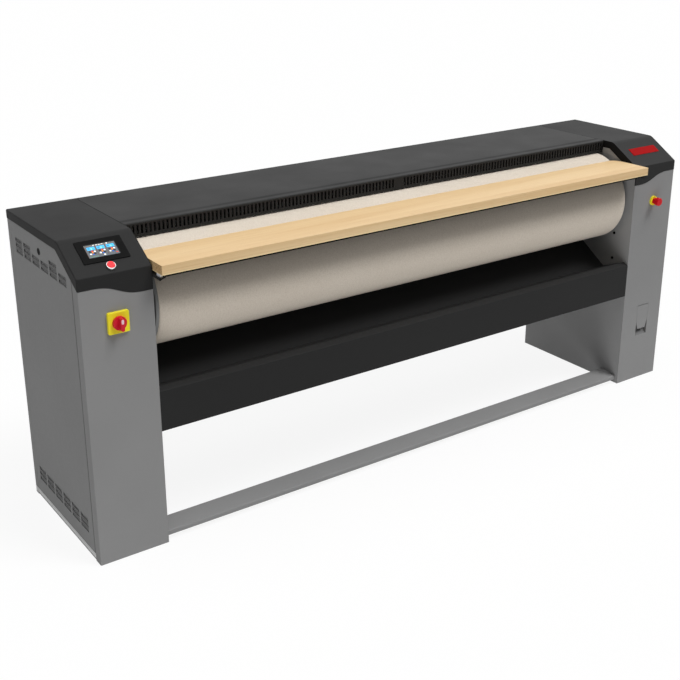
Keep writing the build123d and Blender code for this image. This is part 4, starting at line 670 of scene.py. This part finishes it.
def make_roll_cloth():
    """Padding with its cover cloth, rounded over at both ends and tucked in against the drum."""
    inner = roll_radius - CLOTH_THICKNESS
    first, last = roll_low.x, roll_high.x
    bends = [math.pi / 2 * k / CLOTH_ROUND_STEPS for k in range(CLOTH_ROUND_STEPS + 1)]
    round_over = [
        (CLOTH_ROUND * (1 - math.sin(bend)), roll_radius - CLOTH_ROUND * (1 - math.cos(bend)))
        for bend in reversed(bends)
    ]
    run = last - first - 2 * CLOTH_ROUND
    straight = [(first + CLOTH_ROUND + run * k / CLOTH_STEPS, roll_radius) for k in range(1, CLOTH_STEPS)]
    left_end = [(first, inner)] + [(first + inset, radius) for inset, radius in round_over]
    right_end = [(last - inset, radius) for inset, radius in reversed(round_over)] + [(last, inner)]

    def place(along, radius, angle):
        wave = 0.0
        if radius > roll_radius - CLOTH_SKIN:
            wave = CLOTH_SAG * math.sin(CLOTH_WAVE_ALONG * along + CLOTH_WAVE_ROUND * angle)
            wave *= math.sin(CLOTH_SWELL * along)
        reach = radius - abs(wave)
        y = roll_centre.y + reach * math.cos(angle)
        z = roll_centre.z + reach * math.sin(angle)
        return Vector((along, y, z))

    def build(bm):
        lathe(bm, left_end + straight + right_end, place, CLOTH_TURNS)

    made = piece("roll_cover_cloth", build, "roll_cloth", body="roll")
    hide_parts("roll_padding")


# ---------------------------------------------------------------- slope, screen picture
# The covers' slope above their front edge, as it is in the model
SLOPE_RUN, SLOPE_DROP = 133.2 * MM, 80.9 * MM
SLOPE_ANGLE = math.atan2(SLOPE_DROP, SLOPE_RUN)
SLOPE_DOWN = Vector((0, -math.cos(SLOPE_ANGLE), -math.sin(SLOPE_ANGLE)))
SLOPE_OUT = Vector((0, -math.sin(SLOPE_ANGLE), math.cos(SLOPE_ANGLE)))
SLOPE_FOOT = Vector((0, front_y, cover_top - SLOPE_DROP))

FILM = 0.12 * MM
DOT_SIDES = 24
PICTURE_WIDTH, PICTURE_HEIGHT, PICTURE_TOP = 95.5 * MM, 50.5 * MM, 3.6 * MM
# The picture's layout, in millimetres
HEADER_MARKS, HEADER_PITCH = 4, 9.0
TILE_COUNT, TILE_PITCH = 3, 31.0
TILE_LEFT, TILE_TOP, TILE_WIDTH, TILE_HEIGHT = 6.3, 8.5, 25.0, 12.7
SCREEN_TINTS = {
    "black": "0a0a0a", "shade": "6c6a66", "light": "f6f4f0", "blue": "4ab8f4", "sky": "8cdcff",
    "deep": "2c64c8", "dark": "24262a", "red": "e03c2a", "orange": "f08a3a", "brown": "6a5040",
    "green": "6f9a84",
}


def block(left, top, width, height):
    """Outline of a rectangle, as (across, down) pairs."""
    return [(left, top), (left, top + height), (left + width, top + height), (left + width, top)]


def dot(across, down, radius):
    """Outline of a round dot, as (across, down) pairs."""
    angles = [math.tau * k / DOT_SIDES for k in range(DOT_SIDES)]
    return [(across + radius * math.cos(a), down - radius * math.sin(a)) for a in angles]


def screen_figures():
    """The picture on the display as (tint, layer, outline in millimetres from its upper left corner)."""
    yield "shade", 1, block(0.8, 0.8, 96.4, 5.2)
    for k in range(HEADER_MARKS):
        yield "light", 2, block(28.0 + HEADER_PITCH * k, 1.8, 5.5, 2.4)
    yield "light", 2, dot(73.0, 3.0, 2.4)
    for k in range(TILE_COUNT):
        left = TILE_LEFT + TILE_PITCH * k
        yield "blue", 1, block(left, TILE_TOP, TILE_WIDTH, TILE_HEIGHT)
        yield "sky", 2, dot(left + 13.5, TILE_TOP + 7.8, 3.0)
        yield "deep", 2, dot(left + 6.0, TILE_TOP + 5.6, 2.2)
        yield "dark", 1, block(left + 1.8, 24.5, 7.0, 6.5)
        yield "dark", 1, block(left + 15.0, 33.0, 7.0, 6.5)
        yield "red", 1, block(left + 10.4, 23.6, 4.4, 5.2)
        yield "orange", 1, block(left + 10.4, 28.8, 4.4, 5.6)
        yield "deep", 1, block(left + 11.0, 37.2, 5.0, 4.4)
        yield "light", 2, dot(left + 4.8, 37.6, 3.1)
        yield "light", 2, dot(left + 20.4, 28.0, 3.1)
        if k:
            yield "brown", 1, block(left - 4.4, 6.6, 1.6, 42.0)
    yield "light", 2, dot(52.0, 47.4, 3.2)
    yield "green", 1, block(5.0, 48.6, 27.0, 1.6)
    yield "red", 1, block(89.2, 44.0, 5.4, 3.6)
    yield "brown", 1, block(0.0, 6.0, 1.3, 46.0)


def make_screen_picture():
    """The lit picture, laid on the display's glass in thin films, with the glass's black margins."""
    low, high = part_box("display_screen")
    cos, sin = math.cos(SLOPE_ANGLE), math.sin(SLOPE_ANGLE)
    # The glass lies on the slope, so its upright box gives its thickness and its length down the slope.
    thickness = ((high.z - low.z) * cos - (high.y - low.y) * sin) / (cos * cos - sin * sin)
    corner = Vector((low.x, high.y - thickness * sin, high.z))
    width = high.x - low.x
    height = (high.z - low.z - thickness * cos) / sin
    tints = list(SCREEN_TINTS)

    def build(bm):
        def lay(tint, layer, outline, across_scale=1, down_scale=1, inset=0):
            base = corner + SLOPE_OUT * FILM * (layer - 1) + SLOPE_DOWN * inset
            places = [(across * across_scale * MM, down * down_scale * MM) for across, down in outline]
            points = [base + Vector((across, 0, 0)) + SLOPE_DOWN * down for across, down in places]
            prism(bm, points, SLOPE_OUT * FILM, tints.index(tint))

        for tint, layer, outline in screen_figures():
            lay(tint, layer, outline, PICTURE_WIDTH / width, PICTURE_HEIGHT / height, PICTURE_TOP)
        to_right, to_end = width / MM, height / MM
        picture_right = PICTURE_WIDTH / MM
        lay("black", 1, block(0, 0, to_right, PICTURE_TOP / MM))
        lay("black", 3, block(picture_right, 0, to_right - picture_right, to_end))

    looks = [screen_glass("screen_" + tint, tone(value)) for tint, value in SCREEN_TINTS.items()]
    piece("screen_picture", build, "screen_glass", looks, smooth=False)


# ---------------------------------------------------------------- stop button's surround
STOP_TURNS = 64
SHADOW_RING_INNER, SHADOW_RING_OUTER, SHADOW_RING_RISE, SHADOW_RING_EDGE = 15.2 * MM, 17.6 * MM, 1.1 * MM, 0.4 * MM
STOP_BORE, STOP_STEM, STOP_SLEEVE = 8.2 * MM, 9 * MM, 12 * MM
STOP_RADIUS, STOP_WELL, STOP_RISE, STOP_FLOOR = 15 * MM, 12.4 * MM, 7.4 * MM, 0.5 * MM
STOP_SHOULDER = 0.55 * STOP_RISE
STOP_EDGE = 0.8 * MM
STOP_BRIM = 1.6 * STOP_EDGE
STOP_CHAMFER = 0.3 * STOP_EDGE


def turned_on_slope(name, profile, slot):
    """New piece turned round the stop button's axis, on a profile that counts from the cover's slope."""
    low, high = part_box("stop_button_ring")
    middle = (low + high) / 2
    seat = middle - SLOPE_OUT * (middle - SLOPE_FOOT).dot(SLOPE_OUT)

    def build(bm):
        lathe(bm, profile, axis_place(seat, SLOPE_OUT), STOP_TURNS)

    return piece(name, build, slot)


def make_stop_shadow_ring():
    """Black ring round the foot of the stop button's chrome bezel, in the rubber's finish: a painted contact
    shadow.
    """
    profile = [
        (0, SHADOW_RING_INNER), (SHADOW_RING_RISE, SHADOW_RING_INNER), (SHADOW_RING_RISE, SHADOW_RING_OUTER - SHADOW_RING_EDGE),
        (SHADOW_RING_RISE - SHADOW_RING_EDGE, SHADOW_RING_OUTER), (0, SHADOW_RING_OUTER),
    ]
    turned_on_slope("stop_shadow_ring", profile, "foot_rubber")


def make_stop_bezel():
    """Turned bezel that guards the stop button to its top, with its sleeve through the cover."""
    sleeve = [(-STOP_SLEEVE, STOP_BORE), (-STOP_SLEEVE, STOP_STEM), (0, STOP_STEM)]
    outer = [(0, STOP_RADIUS), (STOP_SHOULDER, STOP_RADIUS), (STOP_RISE - STOP_EDGE, STOP_RADIUS - STOP_EDGE)]
    brim = [(STOP_RISE, STOP_RADIUS - STOP_BRIM), (STOP_RISE, STOP_WELL + STOP_CHAMFER)]
    well = [(STOP_RISE - STOP_CHAMFER, STOP_WELL), (STOP_FLOOR, STOP_WELL), (STOP_FLOOR, STOP_BORE)]
    made = turned_on_slope("stop_bezel", sleeve + outer + brim + well, "chrome_trim")
    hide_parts("stop_button_ring")


# ---------------------------------------------------------------- board's ends
PAD_LENGTH, PAD_RUN, PAD_HEIGHT = 8 * MM, 24 * MM, 9 * MM
PAD_LEADS = {LEFT: 0.0, RIGHT: 17 * MM}
PAD_FOOT = board_low.z - PAD_HEIGHT
BRACKET_WIDTH, BRACKET_SHEET, BRACKET_DROP, BRACKET_WALL = 20 * MM, 2 * MM, 9 * MM, 2 * MM
LIP_SETBACK, LIP_SHEET, LIP_DROP, LIP_END_GAP = 3 * MM, 1.2 * MM, 6 * MM, 4 * MM


def make_end_pads():
    """Bumper pads under the board's ends."""
    pads_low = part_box("board_pads")[0]

    def build(bm):
        for side in SIDES:
            outer, inner = side * board_high.x, side * (board_high.x - PAD_LENGTH)
            section = [(outer, PAD_FOOT), (inner, PAD_FOOT), (inner, board_low.z), (outer, board_low.z)]
            bar(bm, section, pads_low.y + PAD_LEADS[side], PAD_RUN)

    made = piece("end_pads", build, "pad_plastic", smooth=False)
    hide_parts("board_pads")


def make_end_brackets():
    """Folded brackets on the inner walls that hold the pads."""
    low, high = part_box("board_brackets")
    run = high.y - low.y
    shelf_foot, foot = PAD_FOOT - BRACKET_SHEET, PAD_FOOT - BRACKET_DROP

    def build(bm):
        for side in SIDES:
            wall, tip = side * high.x, side * (high.x - BRACKET_WIDTH)
            lining = wall - side * BRACKET_WALL
            shelf = [(wall, PAD_FOOT), (tip, PAD_FOOT), (tip, shelf_foot), (wall, shelf_foot)]
            front = [(wall, shelf_foot), (tip, shelf_foot), (wall, foot)]
            upright = [(wall, foot), (lining, foot), (lining, shelf_foot), (wall, shelf_foot)]
            for section, depth in ((shelf, run), (front, BRACKET_SHEET), (upright, run)):
                bar(bm, section, low.y, depth)

    made = piece("end_brackets", build, "black_sheet", smooth=False)
    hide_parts("board_brackets")


def make_carrier_lip_and_shadow():
    """Folded black lip of the carrier rail under the board's front edge, which also serves as a painted
    shadow line under the board.
    """
    half = board_high.x - PAD_LENGTH - LIP_END_GAP
    front, back = board_low.y + LIP_SETBACK, board_low.y + LIP_SETBACK + LIP_SHEET
    top, foot = board_low.z, board_low.z - LIP_DROP
    outline = [Vector((-half, y, z)) for y, z in ((front, top), (front, foot), (back, foot), (back, top))]

    def build(bm):
        prism(bm, outline, Vector((2 * half, 0, 0)))

    piece("carrier_lip_and_shadow", build, "black_steel", smooth=False)


# ---------------------------------------------------------------- knob's painted highlight
MARK_WIDTH, MARK_LENGTH, MARK_LIFT, MARK_TOP = 7.6 * MM, 15 * MM, 0.3 * MM, 3.4 * MM
MARK_BEND = 0.3 * MARK_WIDTH


def make_knob_highlight():
    """Pale pink plate just proud of the front of the main switch's grip: a painted highlight where the glossy
    grip catches the light.
    """
    low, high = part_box("switch_knob")
    middle = (low.x + high.x) / 2
    top = (low.z + high.z) / 2 + (high.x - low.x) / 2 - MARK_TOP
    section = []
    for across, down in ((-1, 0), (1, 0), (1, 1), (-1, 1)):
        x = middle + across * MARK_WIDTH / 2
        z = top - down * MARK_LENGTH
        inward = MARK_BEND if down == 0 else -MARK_BEND
        corner = [(x, z - inward), (x - across * MARK_BEND, z)]
        section += corner if (across < 0) == (down == 0) else corner[::-1]

    def build(bm):
        bar(bm, section, low.y, -MARK_LIFT)

    look = moulded("knob_painted_highlight", tone("f8d4dc"), roughness=0.4)
    piece("switch_highlight_plate", build, "pad_plastic", [look], body="main_switch", smooth=False)


# ---------------------------------------------------------------- vent blades, rear screws
BLADE_DEPTH, BLADE_SHEET, BLADE_RISE = 3.2 * MM, 0.8 * MM, 10 * MM
SCREW_INSET = 13 * MM
SCREW_RADIUS, SCREW_SOCKET, SCREW_RISE, SCREW_SEAT = 4.2 * MM, 1.7 * MM, 2 * MM, 0.6 * MM
SCREW_DOME = ((0.35, 1.0), (0.8, 0.82), (1.0, 0.55))    # shares of the rise and of the radius
SCREW_TURNS = 20
# Columns and rows of screws on each rear panel
SCREW_GRID = {"left_rear_panel": (2, 5), "middle_rear_panel": (9, 2), "right_rear_panel": (2, 5)}


def make_vent_blades():
    """A blade behind every slot of the side panels, rising inwards from the slot's lower edge."""
    looks = [paint("blade_paint", tone("909090"))]
    for side, name in SIDES.items():
        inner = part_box(name + "_side_panel")[1 if side == LEFT else 0].x
        tip = inner - side * BLADE_DEPTH

        def build(bm):
            for start, rows in vent_stacks():
                for height in rows:
                    low = height - VENT_HEIGHT / 2
                    foot = [(inner, low - BLADE_SHEET), (inner, low)]
                    head = [(tip, low + BLADE_RISE), (tip, low + BLADE_RISE - BLADE_SHEET)]
                    bar(bm, foot + head, start, VENT_LENGTH)

        piece(name + "_vent_blades", build, "side_paint", looks, smooth=False)


def make_rear_screws():
    """Domed socket screws round the edges of the three rear panels."""
    dome = [(rise * SCREW_RISE, reach * SCREW_RADIUS) for rise, reach in SCREW_DOME]
    seat = [(-SCREW_SEAT, SCREW_SOCKET), (-SCREW_SEAT, SCREW_RADIUS)]
    profile = seat + dome + [(SCREW_RISE, SCREW_SOCKET)]

    def build(bm):
        for node, (columns, rows) in SCREW_GRID.items():
            low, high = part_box(node)
            for column in range(columns):
                for row in range(rows):
                    across = (high.x - low.x - 2 * SCREW_INSET) * column / (columns - 1)
                    up = (high.z - low.z - 2 * SCREW_INSET) * row / (rows - 1)
                    place = Vector((low.x + SCREW_INSET + across, high.y, low.z + SCREW_INSET + up))
                    lathe(bm, profile, axis_place(place, Vector((0, 1, 0))), SCREW_TURNS)

    piece("rear_screws", build, "black_steel")


# ---------------------------------------------------------------- sky, floor, lamps
SKY_LEVEL = 0.12
FLOOR_HALF = 40.0
FLOOR_SEEN = 0.95
FLOOR_BOUNCE, FLOOR_FAR_BOUNCE = 0.5, 0.25
FLOOR_POOL = (1.6, 4.5)         # distance at which the floor's bounce starts and stops fading
FLOOR_GLOW = 0.9
LAMPS = {  # light on a surface that faces the lamp, then degrees: elevation, azimuth to the right, width
    "key": (0.55, 57, 38, 24),
    "top": (0.44, 84, -30, 60),
    "low": (0.38, -45, -38, 50),
}


def make_world():
    """Sky: plain white to the eye, dim as a light."""
    world = bpy.data.worlds.new("studio")
    world.use_nodes = True
    sky = Nodes(world.node_tree)
    background = sky.tree.nodes["Background"]
    background.inputs["Color"].default_value = (1, 1, 1, 1)
    sky.feed(background.inputs["Strength"], sky.span(sky.seen_directly(), 0.0, 1.0, SKY_LEVEL, 1.0))
    bpy.context.scene.world = world


def floor_finish():
    """Mostly plain white to the eye, and a greyer bounce, dimmer from further away, as a light."""
    finish = Finish("floor", 1.0, specular=0.0)
    seen = finish.seen_directly()
    away = finish.node("ShaderNodeVectorMath", {0: finish.place}, operation="LENGTH").outputs["Value"]
    bounce = finish.span(away, *FLOOR_POOL, FLOOR_BOUNCE, FLOOR_FAR_BOUNCE)
    finish.color(finish.blend(seen, bounce, (FLOOR_SEEN, FLOOR_SEEN, FLOOR_SEEN)))
    shaders = {
        "Fac": finish.math("MULTIPLY", seen, FLOOR_GLOW),
        1: finish.shader.outputs["BSDF"],
        2: finish.node("ShaderNodeEmission").outputs["Emission"],
    }
    mixed = finish.node("ShaderNodeMixShader", shaders).outputs["Shader"]
    finish.feed(finish.tree.nodes["Material Output"].inputs["Surface"], mixed)
    return finish.material


def make_floor():
    """White floor, with a faint trace of the shadow that falls on it. The low lamp shines through it."""
    mesh = bpy.data.meshes.new("floor")
    corners = [(x * FLOOR_HALF, y * FLOOR_HALF, 0) for x, y in ((-1, -1), (1, -1), (1, 1), (-1, 1))]
    mesh.from_pydata(corners, [], [(0, 1, 2, 3)])
    mesh.materials.append(floor_finish())
    floor = add_object("floor", mesh)
    floor.visible_shadow = False


def make_lamps():
    """Broad soft lamps: one from the front right, one overhead, and one that shines up from the front left.

    The last one stands for the light that a pale room and its floor throw back.
    """
    for name, (level, *degrees) in LAMPS.items():
        elevation, azimuth, width = (math.radians(angle) for angle in degrees)
        sun = bpy.data.lights.new(name, "SUN")
        sun.energy = level * math.pi
        sun.angle = width
        lamp = add_object(name, sun)
        lamp.rotation_mode = "QUATERNION"
        lamp.rotation_quaternion = direction(azimuth, elevation).to_track_quat("Z", "Y")


# ---------------------------------------------------------------- scene
bpy.context.scene.view_settings.view_transform = "Standard"
make_camera()
make_world()
make_floor()
make_lamps()
dress_nodes()
make_roll_cloth()
make_screen_picture()
make_stop_shadow_ring()
make_stop_bezel()
make_end_pads()
make_end_brackets()
make_carrier_lip_and_shadow()
make_knob_highlight()
make_vent_blades()
make_rear_screws()
